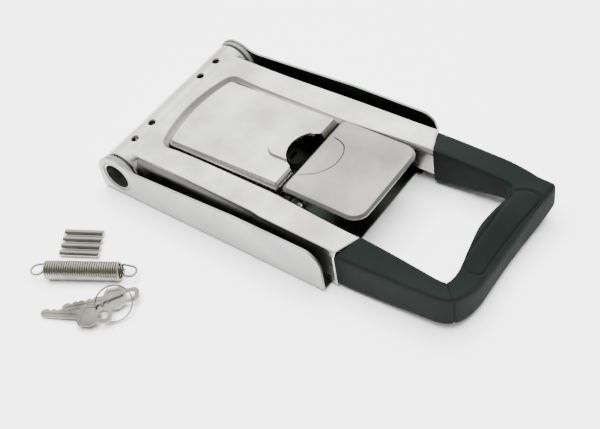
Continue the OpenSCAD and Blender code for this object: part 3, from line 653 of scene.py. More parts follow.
def bevel_profile(width, slope):
    """Edge profile of (out, down) pairs: two small bends with a straight slope between them."""
    bend_share = 0.38
    r = bend_share * width
    a = math.radians(slope)
    run = width - r
    steps = 4
    points = [(r * math.sin(a * i / steps), r - r * math.cos(a * i / steps)) for i in range(steps + 1)]
    out, down = points[-1]
    out, down = out + run, down + run * math.tan(a)
    for i in range(steps + 1):
        turn = a + (math.pi / 2 - a) * i / steps
        points.append((out + r * (math.sin(turn) - math.sin(a)), down + r * (math.cos(a) - math.cos(turn))))
    return points


def lip_rows(path, bend_at, top, low, slope=45.0, spread_at=lambda x: 0.0):
    """Rows of a bent edge: along the path, from its flat top down to the height low(x, y)."""
    flange_rows = 3
    least_flange = 0.3
    rows = []
    for x, y, nx, ny in path:
        bend = bend_at(x)
        spread_out = spread_at(x)
        profile = bevel_profile(bend, slope)
        row = [(x + nx * (out - bend), y + ny * (out - bend), top - down) for out, down in profile]
        bent = row[-1][2]
        floor = min(low(x, y), bent - least_flange)
        for i in range(1, flange_rows + 1):
            away = spread_out * i / flange_rows
            row.append((x - nx * away, y - ny * away, bent + (floor - bent) * i / flange_rows))
        rows.append(row)
    return rows


def window_low(x, y):
    """Lower edge of the lip round the window: shallow at the rear, deep along the rails."""
    rear_depth = 8.0
    start, length = 24.0, 8.0
    shallow = PLATE_TOP - rear_depth
    return shallow + (FLANGE_LOW - shallow) * smooth((x - start) / length)


def slant_front(row):
    """Moves a row of points onto the slanted front."""
    return [(front_x(p[1]), p[1], p[2]) for p in row]


def skirt_lean(z):
    """How far a rail's side leans out below its upper edge, down a sloped shoulder."""
    return min(max(PLATE_TOP - RAIL_EDGE - z, 0.0), SKIRT_LEAN)


def lean_share(x):
    """How much of that lean is left along the rail: all of it at the hub, a third at the front."""
    lost, start, length = 0.65, 60.0, 130.0
    return 1.0 - lost * smooth((x - start) / length)


def rear_samples():
    """Outline across the lever where it meets the hub: place, facing and fillet radius."""
    edge = rail_outer(HUB_JOIN_X)
    wide, tight = 12.0, 3.5
    heights = (SKIRT_LOW, 10.0, 17.0, 22.0, 26.0, 28.4, 30.8, 32.7)
    samples = [(-edge - skirt_lean(z), z, -1.0, 0.0, tight) for z in heights]
    for i in range(7):
        a = math.pi / 2 * (1 - i / 6)
        samples.append((-edge + RAIL_EDGE - RAIL_EDGE * math.sin(a),
                        PLATE_TOP - RAIL_EDGE + RAIL_EDGE * math.cos(a),
                        -math.sin(a), math.cos(a),
                        wide + (tight - wide) * smooth(a / (math.pi / 2))))
    inner = edge - RAIL_EDGE
    for i in range(1, 13):
        samples.append((-inner + inner * i / 12, PLATE_TOP, 0.0, 1.0, wide))
    return samples + [(-y, z, -ny, nz, r) for y, z, ny, nz, r in reversed(samples[:-1])]


def fillet_row(y, z, ny, nz, r):
    """Points from the sheet round a hollow fillet onto the hub."""
    steps = 6
    cy, cz = y + r * ny, z + r * nz
    cx = math.sqrt((SLEEVE_R + r) ** 2 - (cz - HUB_Z) ** 2)
    to_sheet = Vector((0, -ny, -nz))
    to_hub = Vector((-cx, 0, HUB_Z - cz)).normalized()
    row = []
    for i in range(steps + 1):
        d = to_sheet.slerp(to_hub, i / steps)
        row.append((cx + r * d.x, cy + r * d.y, cz + r * d.z))
    return row


def rail_row(start, side, along):
    """Points along a rail's side at one height, from a start at the hub to the slanted front."""
    inset = abs(start[1]) - rail_outer(HUB_JOIN_X)

    def out(x):
        return rail_outer(x, side) + (inset * lean_share(x) if inset > 0 else inset)

    z = start[2]
    y_end = out(RAIL_FRONT)
    return [start] + [(x, side * out(x), z) for x in along] + [(front_x(y_end), side * y_end, z)]


def lever_sheet():
    """The lever's frame: flat top, rounded window and rails. Returns the front edge of each rail."""
    bm = bmesh.new()
    rear = [fillet_row(*s) for s in rear_samples()]
    strip(bm, rear)
    window = lip_rows(window_path(), lip_bend, PLATE_TOP, window_low, 48.0, lip_spread)
    window[0] = slant_front(window[0])
    window[-1] = slant_front(window[-1])
    strip(bm, window)
    along = [30, 45, 60, 75, 90, 105, 116, 120, 122, 124, 126, 128, 130, 132, 134, 138, 150, 165, 180, 192]
    side_count = 15
    clear = 0.5
    upper_edges = []
    fronts = []
    for side in (-1, 1):
        starts = rear[:side_count] if side < 0 else list(reversed(rear))[:side_count]
        rows = [rail_row(row[0], side, along) for row in starts]
        strip(bm, rows)
        corner = window[0][0] if side < 0 else window[-1][0]
        fronts.append((side, [row[-1] for row in rows] + [corner]))
        upper_edges.append(rows[-1])
    outline = list(upper_edges[0])
    outline += [row[0] for row in window]
    outline += list(reversed(upper_edges[1]))
    flat_rear = [row[0] for row in rear[side_count - 1:len(rear) - side_count + 1]]
    outline += list(reversed(flat_rear))[1:-1]
    flat(bm, outline)
    piece = mesh_object("lever_sheet", bm, POLISHED, sharp=60)
    thicken(piece, LEVER_T - clear)
    soften(piece, 0.45, 3)
    stand(piece, "lever", "polished_steel", "lever_frame")
    return fronts


def rail_rims(fronts):
    """Rounded rim along the front edge of each rail."""
    rim_r, sunk, back = 0.85, 0.4, 0.55
    for side, edge in fronts:
        points = [(x - back, y - side * sunk, z - sunk) for x, y, z in edge]
        name = "near_rail_rim" if side < 0 else "far_rail_rim"
        stand(wire_piece(name, points, rim_r, 12, POLISHED), "lever", "polished_steel")


def hub_barrel():
    """The hub's sleeve with rounded rims and countersunk pin holes."""
    bm = bmesh.new()
    rim = 0.9
    seat = 0.4
    rows = 70
    profile = [(TUBE_R, SLEEVE_HALF - seat)]
    profile += [(SLEEVE_R - rim + rim * math.sin(a), SLEEVE_HALF - rim + rim * math.cos(a))
                for a in [math.pi / 2 * i / 5 for i in range(6)]]
    profile += [(SLEEVE_R, (SLEEVE_HALF - rim) * (1 - 2 * i / rows)) for i in range(1, rows)]
    profile += [(r, -h) for r, h in reversed(profile[:7])]
    profile.append(profile[0])
    lathe(bm, profile, (0, 0, HUB_Z), (0, 1, 0), 144)
    barrel = mesh_object("hub_barrel", bm, POLISHED)
    bm = bmesh.new()
    over = 1
    sink = 0.8
    top = SLEEVE_R + over
    wall = SLEEVE_R - sink
    wide = PIN_HOLE_R + sink + over
    hole = [(0, -top), (wide, -top), (PIN_HOLE_R, -wall), (PIN_HOLE_R, wall), (wide, top), (0, top)]
    for y in PIN_HOLE_Y:
        lathe(bm, hole, (0, y, HUB_Z), (0, 0, 1), 32)
    cut_away(barrel, mesh_object("pin_hole_cutter", bm, PLATED))
    barrel.data.set_sharp_from_angle(angle=math.radians(32))
    stand(barrel, "lever", "polished_steel", "hub_sleeve")


def cut_away(piece, cutter):
    """Takes one closed mesh away from another."""
    cut = piece.modifiers.new("cut", "BOOLEAN")
    cut.object = cutter
    cut.solver = "EXACT"
    apply_modifiers(piece)
    bpy.data.objects.remove(cutter)


def apply_modifiers(piece):
    """Makes the piece's shown shape its own mesh."""
    bpy.context.view_layer.update()
    shown = piece.evaluated_get(bpy.context.evaluated_depsgraph_get())
    piece.data = bpy.data.meshes.new_from_object(shown)
    piece.modifiers.clear()


# The lock cover

def cover_path():
    """Edge of the cover from the half-moon's near end round to its far end, with outward directions."""
    centre_x, turn, corner_x = bowed_end(COVER_REAR, COVER_BOW, COVER_HALF, COVER_CORNER)
    front_r = 3.0
    moon_end = math.sqrt(MOON_R ** 2 - (MOON_X - COVER_FRONT) ** 2)
    side_x = COVER_FRONT - front_r
    path = []
    for i in range(5):
        y = moon_end + (COVER_HALF - front_r - moon_end) * i / 5
        path.append((COVER_FRONT, -y, 1.0, 0.0))
    path += arc((side_x, -COVER_HALF + front_r), front_r, 0, -90, 6)
    for i in range(1, 12):
        path.append((side_x + (corner_x - side_x) * i / 12, -COVER_HALF, 0.0, -1.0))
    path += arc((corner_x, -COVER_HALF + COVER_CORNER), COVER_CORNER, -90, -180 + turn, 8)
    path += arc((centre_x, 0), COVER_BOW, 180 + turn, 180 - turn, 24)[1:13]
    return with_mirror(path)


def pad_path(grow):
    """U-shaped edge of the raised pad round the half-moon, from the near end to the far end."""
    half = 16.6 - grow
    rear = 97.0 + grow
    round_r = 12.0 - grow
    end_x = MOON_X - math.sqrt(MOON_R ** 2 - half ** 2)
    points = [(end_x, -half)]
    points += arc_points((rear + round_r, -half + round_r), round_r, -90, -180, 8)
    return points + [(x, -y) for x, y in reversed(points)]


def lock_cover():
    """Pressed cover with bent edges, a half-moon key opening and a slightly raised pad round it."""
    bm = bmesh.new()
    bend = 2.8
    edge_slope = 52.0
    pad_rise = 1.7
    pad_slope = 1.3
    rows = lip_rows(cover_path(), lambda x: bend, PLATE_TOP, lambda x, y: PLATE_TOP - COVER_DEPTH, edge_slope)
    strip(bm, rows)
    rim = [(x, y, PLATE_TOP) for x, y in pad_path(0.0)]
    pad = [(x, y, PLATE_TOP + pad_rise) for x, y in pad_path(pad_slope)]
    strip(bm, [rim, pad])

    def moon_arc(from_y, to_y, z, steps):
        start = math.degrees(math.asin(from_y / MOON_R))
        end = math.degrees(math.asin(to_y / MOON_R))
        turns = [math.radians(start + (end - start) * i / steps) for i in range(steps + 1)]
        return [(MOON_X - MOON_R * math.cos(a), MOON_R * math.sin(a), z) for a in turns]

    edge = [row[0] for row in rows]
    moon_y = math.sqrt(MOON_R ** 2 - (MOON_X - COVER_FRONT + bend) ** 2)
    outline = edge + moon_arc(moon_y, rim[-1][1], PLATE_TOP, 4)[:-1]
    outline += list(reversed(rim))
    outline += moon_arc(rim[0][1], -moon_y, PLATE_TOP, 4)[1:]
    flat(bm, outline)
    flat(bm, list(pad) + moon_arc(pad[-1][1], pad[0][1], PLATE_TOP + pad_rise, 16)[1:-1])
    for v in bm.verts:
        share = min(max((v.co.z - PLATE_TOP) / COVER_DEPTH + 1.0, 0.0), 1.0)
        v.co.z += COVER_RISE * (v.co.x - COVER_REAR) / (COVER_FRONT - COVER_REAR) * share
    piece = mesh_object("cover_pressing", bm, POLISHED, sharp=60)
    thicken(piece, COVER_T)
    soften(piece, 0.3)
    stand(piece, "lever", "polished_steel", "lock_cover")


# The push plate

def push_path():
    """Edge of the push plate all round, with outward directions."""
    rear_r = 5.0
    front_centre = PUSH_FRONT - PUSH_CORNER
    path = [(PUSH_REAR, (PUSH_HALF - rear_r) * (i / 8 - 1), -1.0, 0.0) for i in range(16)]
    path += arc((PUSH_REAR + rear_r, PUSH_HALF - rear_r), rear_r, 180, 90, 6)
    path += arc((front_centre, PUSH_HALF - PUSH_CORNER), PUSH_CORNER, 90, 0, 10)
    path += arc((front_centre, -PUSH_HALF + PUSH_CORNER), PUSH_CORNER, 0, -90, 10)
    path += arc((PUSH_REAR + rear_r, -PUSH_HALF + rear_r), rear_r, -90, -180, 6)
    return path


def rear_lip_share(x):
    """1 along the plate's rear lip, falling to 0 in front of it."""
    lip_end, lip_fade = 5.0, 4.0
    return smooth((PUSH_REAR + lip_end - x) / lip_fade)


def push_low_edge(x, y):
    """Lower edge of the plate's rim: a deep lip at the rear, thin elsewhere."""
    deep, thin = 6.0, 2.8
    return PUSH_TOP - thin - (deep - thin) * rear_lip_share(x)


def thumb_path():
    """Front edge of the thumb hollow, from near to far."""
    points = [(135.0, -25.5), (141.0, -21.0), (146.0, -18.0), (150.8, -11.7), (154.0, -4.7), (154.8, 1.0),
              (153.8, 8.3), (150.8, 14.8), (146.6, 18.3), (140.6, 20.0), (135.0, 20.6)]
    return smooth_line(points, 4)


def smooth_line(points, steps):
    """Catmull-Rom line through points of any dimension."""
    p = [np.array(q, float) for q in points]
    p = [2 * p[0] - p[1]] + p + [2 * p[-1] - p[-2]]
    line = []
    for i in range(1, len(p) - 2):
        for j in range(steps):
            t = j / steps
            line.append(0.5 * (2 * p[i] + (p[i + 1] - p[i - 1]) * t
                               + (2 * p[i - 1] - 5 * p[i] + 4 * p[i + 1] - p[i + 2]) * t ** 2
                               + (3 * p[i] - p[i - 1] - 3 * p[i + 1] + p[i + 2]) * t ** 3))
    line.append(p[-2])
    return [tuple(float(v) for v in q) for q in line]


def push_plate():
    """Push plate with rounded edges, a rear lip, a thumb hollow and the two lugs below."""
    bm = bmesh.new()
    bend = 2.4
    rear_bend = 3.4

    def bend_at(x):
        return bend + (rear_bend - bend) * rear_lip_share(x)

    path = push_path()
    rows = lip_rows(path, bend_at, PUSH_TOP, push_low_edge)
    strip(bm, rows + [rows[0]])
    edge = [row[0] for row in rows]
    thumb = thumb_path()
    hollow = 0.35
    groove = 1.0
    groove_at, groove_w, groove_fade = 0.65, 1.4, 6.0
    hollow_x = 145.0
    deepest = 154.8
    sheet_t = 1.4
    near_zero = 0.01
    rear_line = PUSH_REAR + rear_bend

    def depth(x):
        return PUSH_TOP - hollow * smooth((x - rear_line) / (deepest - rear_line))

    ends = (thumb[0][1], thumb[-1][1])
    high = [(rear_line, ends[0], PUSH_TOP)] + [(x, y, PUSH_TOP) for x, y in thumb]
    high += [(rear_line, ends[1], PUSH_TOP)]
    bottom, low = [high[0]], [high[0]]
    for x, y in thumb:
        inward = Vector((hollow_x - x, 0.0 - y)).normalized()
        fade = smooth((x - rear_line) / groove_fade)
        px = max(x + inward.x * groove_at, rear_line)
        bottom.append((px, y + inward.y * groove_at, PUSH_TOP - groove * fade))
        px = max(x + inward.x * groove_w, rear_line)
        low.append((px, y + inward.y * groove_w, depth(px)))
    bottom.append(high[-1])
    low.append(high[-1])
    strip(bm, [high, bottom, low])
    rear_points = sorted([p for p in edge if abs(p[0] - rear_line) < near_zero], key=lambda p: p[1])
    inside = [p for p in rear_points if ends[0] < p[1] < ends[1]]
    beyond_far = [p for p in rear_points if p[1] >= ends[1]]
    beyond_near = [p for p in rear_points if p[1] <= ends[0]]
    flat(bm, list(low) + list(reversed(inside)))
    others = [p for p in edge if abs(p[0] - rear_line) >= near_zero]
    flat(bm, beyond_far + others + beyond_near + list(high))
    piece = mesh_object("push_pressing", bm, PRESSED, sharp=60)
    thicken(piece, sheet_t, even=False)
    soften(piece, 0.25)
    stand(piece, "push", "polished_steel", "push_plate")
    push_lugs()


def push_lugs():
    """The lugs that hang from the push plate, with the fingers that lift the hooks' arms."""
    lug_r = 6.0
    bore_r = 2.55
    finger_t, finger_top, finger_low = 2.4, 4.8, 5.0
    shoulder = 1.0
    sunk = 1.5
    px, pz = PIVOT
    tip_x = HOOK_AXIS[0] + 7.2
    tip_z = HOOK_AXIS[1] + 1.2
    top = PUSH_TOP - sunk
    outline = [(px - lug_r, top), (px - lug_r, pz + shoulder), (tip_x + finger_top, tip_z), (tip_x, tip_z),
               (tip_x, tip_z - finger_t), (tip_x + finger_low, tip_z - finger_t)]
    outline += arc_points((px, pz), lug_r, 245, 360, 12)
    outline += [(px + lug_r, top)]
    bore = arc_points((px, pz), bore_r, 0, 345, 23)
    bm = bmesh.new()
    for side in (-1, 1):
        made = filled(bm, [[(x, side * LUG_Y, z) for x, z in loop] for loop in (outline, bore)])
        faces = [g for g in made["geom"] if isinstance(g, bmesh.types.BMFace)]
        pushed = bmesh.ops.extrude_face_region(bm, geom=faces)
        moved = [g for g in pushed["geom"] if isinstance(g, bmesh.types.BMVert)]
        bmesh.ops.translate(bm, vec=(0, side * LUG_T, 0), verts=moved)
    piece = mesh_object("push_lugs", bm, PLATED)
    soften(piece, 0.25)
    stand(piece, "push", "polished_steel")


# The rubber grip

GRIP_SWELL = 1.2
SEAM_STATION = 15
STATION_STEPS = 20


def grip_stations():
    """Sections of the grip from the far rail to the near rail: inner and outer edge, and four heights."""
    arm = [
        # inner x, inner y, outer x, outer y, inner top, outer top, inner low, outer low
        (205.2, 47.3, 197.3, 67.2, 36.6, 32.6, 3.8, 2.7),
        (216.0, 47.6, 212.0, 66.8, 35.9, 33.1, 5.4, 3.1),
        (236.0, 48.4, 236.0, 65.8, 34.2, 33.7, 8.6, 4.2),
        (254.0, 49.2, 256.0, 64.8, 32.3, 34.0, 11.8, 5.4)]
    far_corner = [
        (263.0, 49.3, 270.0, 63.0, 31.2, 34.0, 12.6, 7.0),
        (267.4, 48.2, 281.0, 60.9, 30.6, 34.0, 12.2, 9.5),
        (269.2, 46.2, 290.0, 60.4, 30.4, 34.4, 11.4, 12.0),
        (269.9, 43.0, 294.2, 59.0, 30.4, 34.4, 10.2, 12.4),
        (269.9, 38.0, 293.4, 50.0, 31.0, 32.6, 8.0, 8.2),
        (269.7, 31.0, 291.4, 37.0, 32.0, 29.0, 6.4, 4.8)]
    middle = [
        (268.8, 18.0, 290.0, 19.0, 34.2, 24.8, 5.0, 4.0),
        (268.6, 2.0, 289.6, 0.0, 35.4, 22.8, 5.0, 4.0),
        (271.6, -17.0, 290.0, -19.0, 34.0, 23.0, 5.0, 4.0)]
    near_corner = [
        (274.3, -33.0, 290.2, -37.0, 30.6, 26.0, 6.4, 4.2),
        (274.0, -42.0, 287.8, -50.0, 29.0, 29.4, 9.6, 4.6),
        (272.2, -47.4, 283.6, -58.4, 29.2, 32.4, 11.8, 5.6),
        (266.5, -49.4, 275.0, -63.2, 30.8, 33.8, 12.6, 5.8)]
    near_arm = [(s[0], -s[1], s[2], -s[3], *s[4:]) for s in reversed(arm)]
    return arm + far_corner + middle + near_corner + near_arm


def squareness(share):
    """Exponent of the section: boxy at the rails, rounder on the bar."""
    boxy, rounder_by = 11.0, 5.0
    start, rate = 0.4, 2.2
    middle = 1 - abs(2 * share - 1)
    return boxy - rounder_by * smooth((middle - start) * rate)


def grip_surface():
    """Rings of points round the grip, from the far rail to the near rail."""
    fine = 90
    swell_below = GRIP_SWELL * 0.6
    stations = smooth_line(grip_stations(), STATION_STEPS)
    rings = []
    for i, (ix, iy, ox, oy, it, ot, il, ol) in enumerate(stations):
        power = 2 / squareness(i / (len(stations) - 1))
        wide = math.hypot(ox - ix, oy - iy)
        more = (GRIP_SWELL * (ox - ix) / wide, GRIP_SWELL * (oy - iy) / wide)
        ix, iy, ox, oy = ix - more[0], iy - more[1], ox + more[0], oy + more[1]
        il, ol = il - swell_below, ol - swell_below
        ring = []
        for eighth in range(8):
            section = []
            for j in range(fine + 1):
                a = math.pi / 4 * (eighth + j / fine)
                u = math.copysign(abs(math.cos(a)) ** power, math.cos(a)) * 0.5 + 0.5
                v = math.copysign(abs(math.sin(a)) ** power, math.sin(a)) * 0.5 + 0.5
                top = it + (ot - it) * u
                low = il + (ol - il) * u
                section.append((ix + (ox - ix) * u, iy + (oy - iy) * u, low + (top - low) * v))
            ring += towards_corner(section, eighth % 2 == 0)
        rings.append(ring)
    return rings


def towards_corner(section, corner_last):
    """Points along an eighth of a section, spaced by length and closer together near its corner."""
    count = 20
    crowding = 1.5
    section = np.array(section)
    walked = np.concatenate([[0.0], np.cumsum(np.linalg.norm(np.diff(section, axis=0), axis=1))])
    share = np.linspace(0.0, 1.0, count, endpoint=False)
    if corner_last:
        share = 1 - (1 - share) ** crowding
    else:
        share = share ** crowding
    stops = share * walked[-1]
    columns = [np.interp(stops, walked, section[:, k]) for k in range(3)]
    return [tuple(p) for p in np.stack(columns, axis=1)]


def rubber_grip():
    """Moulded grip with a sunk oval panel on the bar and a mould seam at the near corner."""
    rings = grip_surface()
    bm = bmesh.new()
    made = [[bm.verts.new(p) for p in ring] for ring in rings]
    n = len(made[0])
    for a, b in zip(made, made[1:]):
        for j in range(n):
            bm.faces.new((a[j], a[(j + 1) % n], b[(j + 1) % n], b[j]))
    end_inset = 0.1
    for ring in (made[0], made[-1]):
        middle = sum((v.co for v in ring), Vector()) / n
        inner = [bm.verts.new(v.co * (1 - end_inset) + middle * end_inset) for v in ring]
        for j in range(n):
            bm.faces.new((ring[j], ring[(j + 1) % n], inner[(j + 1) % n], inner[j]))
        bm.faces.new(inner)
    bmesh.ops.recalc_face_normals(bm, faces=bm.faces)
    bm.normal_update()
    press_seam(made)
    sink_panel([v for ring in made for v in ring])
    piece = mesh_object("grip_moulding", bm, RUBBER, sharp=60)
    stand(piece, "lever", "grip_rubber", "rubber_grip")


def press_seam(rings):
    """Presses the mould seam round the bar at the near corner."""
    deep = 0.8
    width = 1.6
    least = 0.02
    moves = []
    for i, ring in enumerate(rings):
        press = deep * math.exp(-((i - SEAM_STATION * STATION_STEPS) / width) ** 2)
        if press > least:
            moves += [(v, v.normal * -press) for v in ring]
    for v, move in moves:
        v.co += move


def sink_panel(verts):
    """Presses the outline of a long oval panel into the bar's upper face, with a raised rim round it."""
    half_len = 40.0
    half_w = 7.6
    centre_y = 8.0
    axis_x, axis_z = 280.0, 28.5
    bar_x = 262.0
    across = Vector((0.72, 0.0, -0.69))
    facing = Vector((0.69, 0.0, 0.72))
    least_facing = 0.3
    sunk = 0.9
    rim = 0.3
    edge = 0.9
    rim_at = 2.2 * edge
    moves = []
    for v in verts:
        if v.normal.dot(facing) < least_facing or v.co.x < bar_x:
            continue
        along = max(abs(v.co.y - centre_y) - (half_len - half_w), 0.0)
        side = (v.co - Vector((axis_x, v.co.y, axis_z))).dot(across)
        away = math.hypot(along, side) - half_w
        press = -sunk * math.exp(-(away / edge) ** 2) + rim * math.exp(-((away - rim_at) / edge) ** 2)
        moves.append((v, v.normal.copy() * press))
    for v, move in moves:
        v.co += move


# Loose kit

def node_tree(name, inputs):
    """Geometry node tree with named inputs; returns it, its inputs' identifiers and its end nodes."""
    tree = bpy.data.node_groups.new(name, "GeometryNodeTree")
    tree.interface.new_socket(name="Geometry", in_out="INPUT", socket_type="NodeSocketGeometry")
    sockets = {}
    for label, kind in inputs:
        sockets[label] = tree.interface.new_socket(name=label, in_out="INPUT", socket_type=kind).identifier
    tree.interface.new_socket(name="Geometry", in_out="OUTPUT", socket_type="NodeSocketGeometry")
    return tree, sockets, tree.nodes.new("NodeGroupInput"), tree.nodes.new("NodeGroupOutput")


def painted(tree, source, start, end):
    """Ends a tree: whole geometry with the finish from its input."""
    whole = tree.nodes.new("GeometryNodeRealizeInstances")
    paint = tree.nodes.new("GeometryNodeSetMaterial")
    tree.links.new(source, whole.inputs["Geometry"])
    tree.links.new(whole.outputs["Geometry"], paint.inputs["Geometry"])
    tree.links.new(start.outputs["Finish"], paint.inputs["Material"])
    tree.links.new(paint.outputs["Geometry"], end.inputs["Geometry"])


def wire_tree():
    """Sweeps a round wire along the edges of a piece."""
    tree, sockets, start, end = node_tree(
        "round_wire",
        [("Wire Radius", "NodeSocketFloat"), ("Sides", "NodeSocketInt"), ("Finish", "NodeSocketMaterial")])
    path = tree.nodes.new("GeometryNodeMeshToCurve")
    section = tree.nodes.new("GeometryNodeCurvePrimitiveCircle")
    sweep = tree.nodes.new("GeometryNodeCurveToMesh")
    sweep.inputs["Fill Caps"].default_value = True
    tree.links.new(start.outputs["Geometry"], path.inputs["Mesh"])
    tree.links.new(path.outputs["Curve"], sweep.inputs["Curve"])
    tree.links.new(start.outputs["Wire Radius"], section.inputs["Radius"])
    tree.links.new(start.outputs["Sides"], section.inputs["Resolution"])
    tree.links.new(section.outputs["Curve"], sweep.inputs["Profile Curve"])
    painted(tree, sweep.outputs["Mesh"], start, end)
    return tree, sockets


def row_tree():
    """Repeats a piece in a row."""
    tree, sockets, start, end = node_tree(
        "laid_in_row",
        [("Count", "NodeSocketInt"), ("Step", "NodeSocketVector"), ("Finish", "NodeSocketMaterial")])
    row = tree.nodes.new("GeometryNodeMeshLine")
    copies = tree.nodes.new("GeometryNodeInstanceOnPoints")
    tree.links.new(start.outputs["Count"], row.inputs["Count"])
    tree.links.new(start.outputs["Step"], row.inputs["Offset"])
    tree.links.new(row.outputs["Mesh"], copies.inputs["Points"])
    tree.links.new(start.outputs["Geometry"], copies.inputs["Instance"])
    painted(tree, copies.outputs["Instances"], start, end)
    return tree, sockets


def shape_by(piece, made, values):
    """Runs a geometry node tree on a piece and keeps the result as its mesh."""
    tree, sockets = made
    modifier = piece.modifiers.new(tree.name, "NODES")
    modifier.node_group = tree
    for label, value in values.items():
        modifier[sockets[label]] = value
    apply_modifiers(piece)


def wire_piece(name, points, radius, sides, finish_material):
    """Round wire along points in millimetres."""
    mesh = bpy.data.meshes.new(name)
    edges = [(i, i + 1) for i in range(len(points) - 1)]
    mesh.from_pydata([tuple(c * MM for c in p) for p in points], edges, [])
    piece = placed(name, mesh)
    shape_by(piece, WIRE, {"Wire Radius": radius * MM, "Sides": sides, "Finish": finish_material})
    piece.data.polygons.foreach_set("use_smooth", [True] * len(piece.data.polygons))
    piece.data.set_sharp_from_angle(angle=math.radians(60))
    return piece


WIRE = wire_tree()
ROW = row_tree()


def coil(centre, first, second, r, start, end, travel, steps):
    """Points round a coil, from its two radial directions, its angles and how far it moves along."""
    points = []
    for i in range(steps + 1):
        a = start + (end - start) * i / steps
        out = first * (r * math.cos(a)) + second * (r * math.sin(a))
        points.append(centre + out + travel * (i / steps - 0.5))
    return points


def extension_spring():
    """Wound tension spring with a full loop at each end."""
    coil_d, wire, turns = 14.2, 1.75, 32
    r = (coil_d - wire) / 2
    span = 58.4
    turn = math.radians(28.5)
    centre = Vector((31.0, -153.0, coil_d / 2))
    along = Vector((math.cos(turn), math.sin(turn), 0))
    side = Vector((-math.sin(turn), math.cos(turn), 0))
    up = Vector((0, 0, 1))
    per_turn = 28
    loop_r, loop_gap = 4.7, 1.4
    loop_start, loop_sweep, loop_steps = 84, 290, 24
    neck, neck_share = 0.6, 0.98
    loop_x = span / 2 + loop_r + loop_gap
    body = coil(centre, side, up, r, 0.0, 2 * math.pi * turns, along * (span - wire), turns * per_turn)
    ends = []
    for end in (-1, 1):
        loop = [(end * (span / 2 - wire / 2), r), (end * (span / 2 + neck), r * neck_share)]
        for i in range(loop_steps + 1):
            a = math.radians(loop_start - loop_sweep * i / loop_steps)
            loop.append((end * (loop_x + loop_r * math.cos(a)), loop_r * math.sin(a)))
        line = smooth_line(loop, 3)
        ends.append([centre + along * p[0] + side * p[1] for p in line])
    whole = list(reversed(ends[0]))[:-1] + body + ends[1][1:]
    piece = wire_piece("spring_wire", whole, wire / 2, 12, DRAWN)
    stand(piece, "spring", "spring_steel", "extension_spring")


def push_spring():
    """Torsion spring round the pivot pin: one leg under the push plate, one on the hook shaft."""
    wire, r, half, leg = 1.2, 3.6, 4.6, 26.8
    turns, per_turn = 7, 28
    x, z = PIVOT
    arrives, leaves = math.radians(107.6), math.radians(96.3 - 360 * turns)
    on_shaft, under_plate = 3.7, 7.4
    points = [(HOOK_AXIS[0], -half, HOOK_AXIS[1] + on_shaft)]
    points += coil(Vector((x, 0, z)), Vector((1, 0, 0)), Vector((0, 0, 1)), r, arrives, leaves,
                   Vector((0, 2 * half, 0)), turns * per_turn)
    points.append((x + leg, half, PUSH_TOP - under_plate))
    piece = wire_piece("push_spring_wire", points, wire / 2, 10, DRAWN)
    stand(piece, "lever", "spring_steel", "push_spring")


def fixing_pins():
    """Four ground pins with chamfered ends, lying side by side."""
    pin_r, pin_len, chamfer = 2.5, 31.0, 0.5
    count, first_at, step = 4, (13.5, -140.5), (-3.6, 5.7)
    turn = math.radians(26.8)
    along = (math.cos(turn), math.sin(turn), 0)
    half = pin_len / 2
    profile = [(0.001, -half), (pin_r - chamfer, -half), (pin_r, -half + chamfer),
               (pin_r, half - chamfer), (pin_r - chamfer, half), (0.001, half)]
    bm = bmesh.new()
    lathe(bm, profile, (*first_at, pin_r), along, 40)
    piece = mesh_object("ground_pins", bm, GROUND, sharp=30)
    shape_by(piece, ROW, {"Count": count, "Step": (step[0] * MM, step[1] * MM, 0.0), "Finish": GROUND})
    soften(piece, 0.12)
    stand(piece, "pins", "polished_steel", "fixing_pins")


def key_outline():
    """Outline of a key from its tip: cuts along the blade and flutes on one side of the bow."""
    blade, bow, tab = 3.5, 9.6, 6.0
    points = [(0.0, 1.4), (2.4, blade)]
    for i, deep in enumerate((1.6, 1.0, 1.7, 1.2)):
        x = 6.4 + 4.7 * i
        points += [(x - deep, blade), (x, blade - deep), (x + deep, blade)]
    points += [(28.0, blade), (28.0, 5.6), (30.4, bow)]
    for i in range(5):
        x = 31.6 + 1.4 * i
        points += [(x - 0.45, bow), (x, bow - 2.2), (x + 0.45, bow)]
    points += [(38.6, bow), (43.0, tab), (49.4, tab), (52.0, 3.2)]
    return points + [(52.0, -3.2), (49.4, -tab), (43.0, -tab), (38.6, -bow), (30.4, -bow), (28.0, -5.6),
                     (28.0, -blade), (2.4, -blade), (0.0, -1.4)]


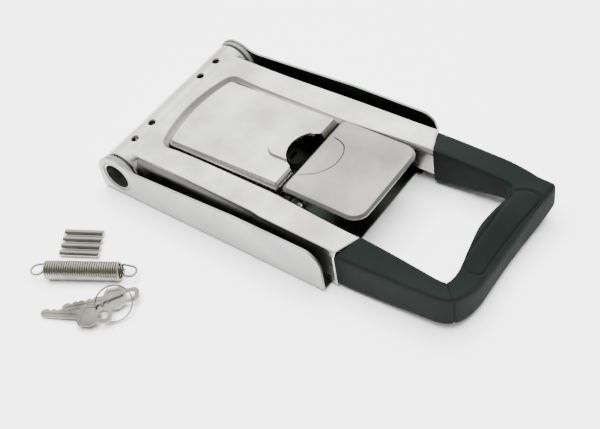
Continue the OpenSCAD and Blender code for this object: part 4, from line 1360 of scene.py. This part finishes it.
def key_piece(node, tip, eye):
    """Key lying from its tip to its eye: a grooved blade and a bow with a sunk panel."""
    thick, sunk, eye_x, eye_r = 1.9, 0.4, 45.6, 3.7
    length = (Vector(eye) - Vector(tip)).length
    along = (Vector(eye) - Vector(tip)).normalized()
    side = Vector((0, 0, 1)).cross(along).normalized()
    up = along.cross(side)

    def place(point, z):
        return Vector(tip) + along * (point[0] * length / eye_x) + side * point[1] + up * z

    outline = key_outline()
    eye_edge = arc_points((eye_x, 0), eye_r, 0, 350, 35)
    groove = [(1.4, -1.9), (27.2, -1.9), (27.2, -0.2), (1.4, -0.2)]
    panel = [(30.6, -7.0), (31.8, -8.2), (37.6, -8.2), (39.6, -6.4),
             (39.6, 5.0), (38.4, 6.2), (31.8, 6.2), (30.6, 5.0)]
    bm = bmesh.new()
    filled(bm, [[place(p, 0.0) for p in loop] for loop in (outline, eye_edge)])
    filled(bm, [[place(p, thick) for p in loop] for loop in (outline, eye_edge, groove, panel)])
    for loop, low in ((outline, 0.0), (eye_edge, 0.0), (groove, thick - sunk), (panel, thick - sunk)):
        closed = loop + [loop[0]]
        strip(bm, [[place(p, low) for p in closed], [place(p, thick) for p in closed]])
    for loop in (groove, panel):
        flat(bm, [place(p, thick - sunk) for p in loop])
    piece = mesh_object(node + "_cut", bm, NICKEL, sharp=30)
    soften(piece, 0.2)
    stand(piece, "key_set", "key_metal", node)


def key_ring():
    """Split ring of two close turns of wire, leaning towards the viewer."""
    wire_r, ring_r, pitch = 0.5, 13.4, 1.05
    lean = math.radians(22.0)
    centre = Vector(RING_AT)
    level = Vector((0.695, -0.718, 0.0))
    normal = Vector((0, 0, 1)) * math.cos(lean) + level * math.sin(lean)
    first = level.cross(Vector((0, 0, 1)))
    second = normal.cross(first)
    turns, per_turn = 2, 60
    points = coil(centre, first, second, ring_r, 0.0, 2 * math.pi * turns, normal * (pitch * turns),
                  turns * per_turn)
    piece = wire_piece("ring_wire", points, wire_r, 10, DRAWN)
    stand(piece, "key_set", "key_metal", "key_ring")


def dress_solids():
    """Gives every solid that still shows the finish of its slot."""
    for row in frame["record"]["subparts"]:
        node = frame["nodes"][row["node"]]
        node.data.materials.clear()
        node.data.materials.append(FINISH_OF_SLOT[row["material_slot"]])


make_camera()
make_light()
make_floor()
dress_solids()
tray_sheet()
rail_rims(lever_sheet())
hub_barrel()
lock_cover()
push_plate()
rubber_grip()
extension_spring()
push_spring()
fixing_pins()
edged_copy("near_bush", "base", "bush_plastic", 0.3)
edged_copy("far_bush", "base", "bush_plastic", 0.3)
edged_copy("hub_tube", "lever", "satin_steel", 0.25)
edged_copy("pivot_collars", "lever", "polished_steel", 0.4)
key_piece("first_key", *FIRST_KEY)
key_piece("second_key", *SECOND_KEY)
key_ring()
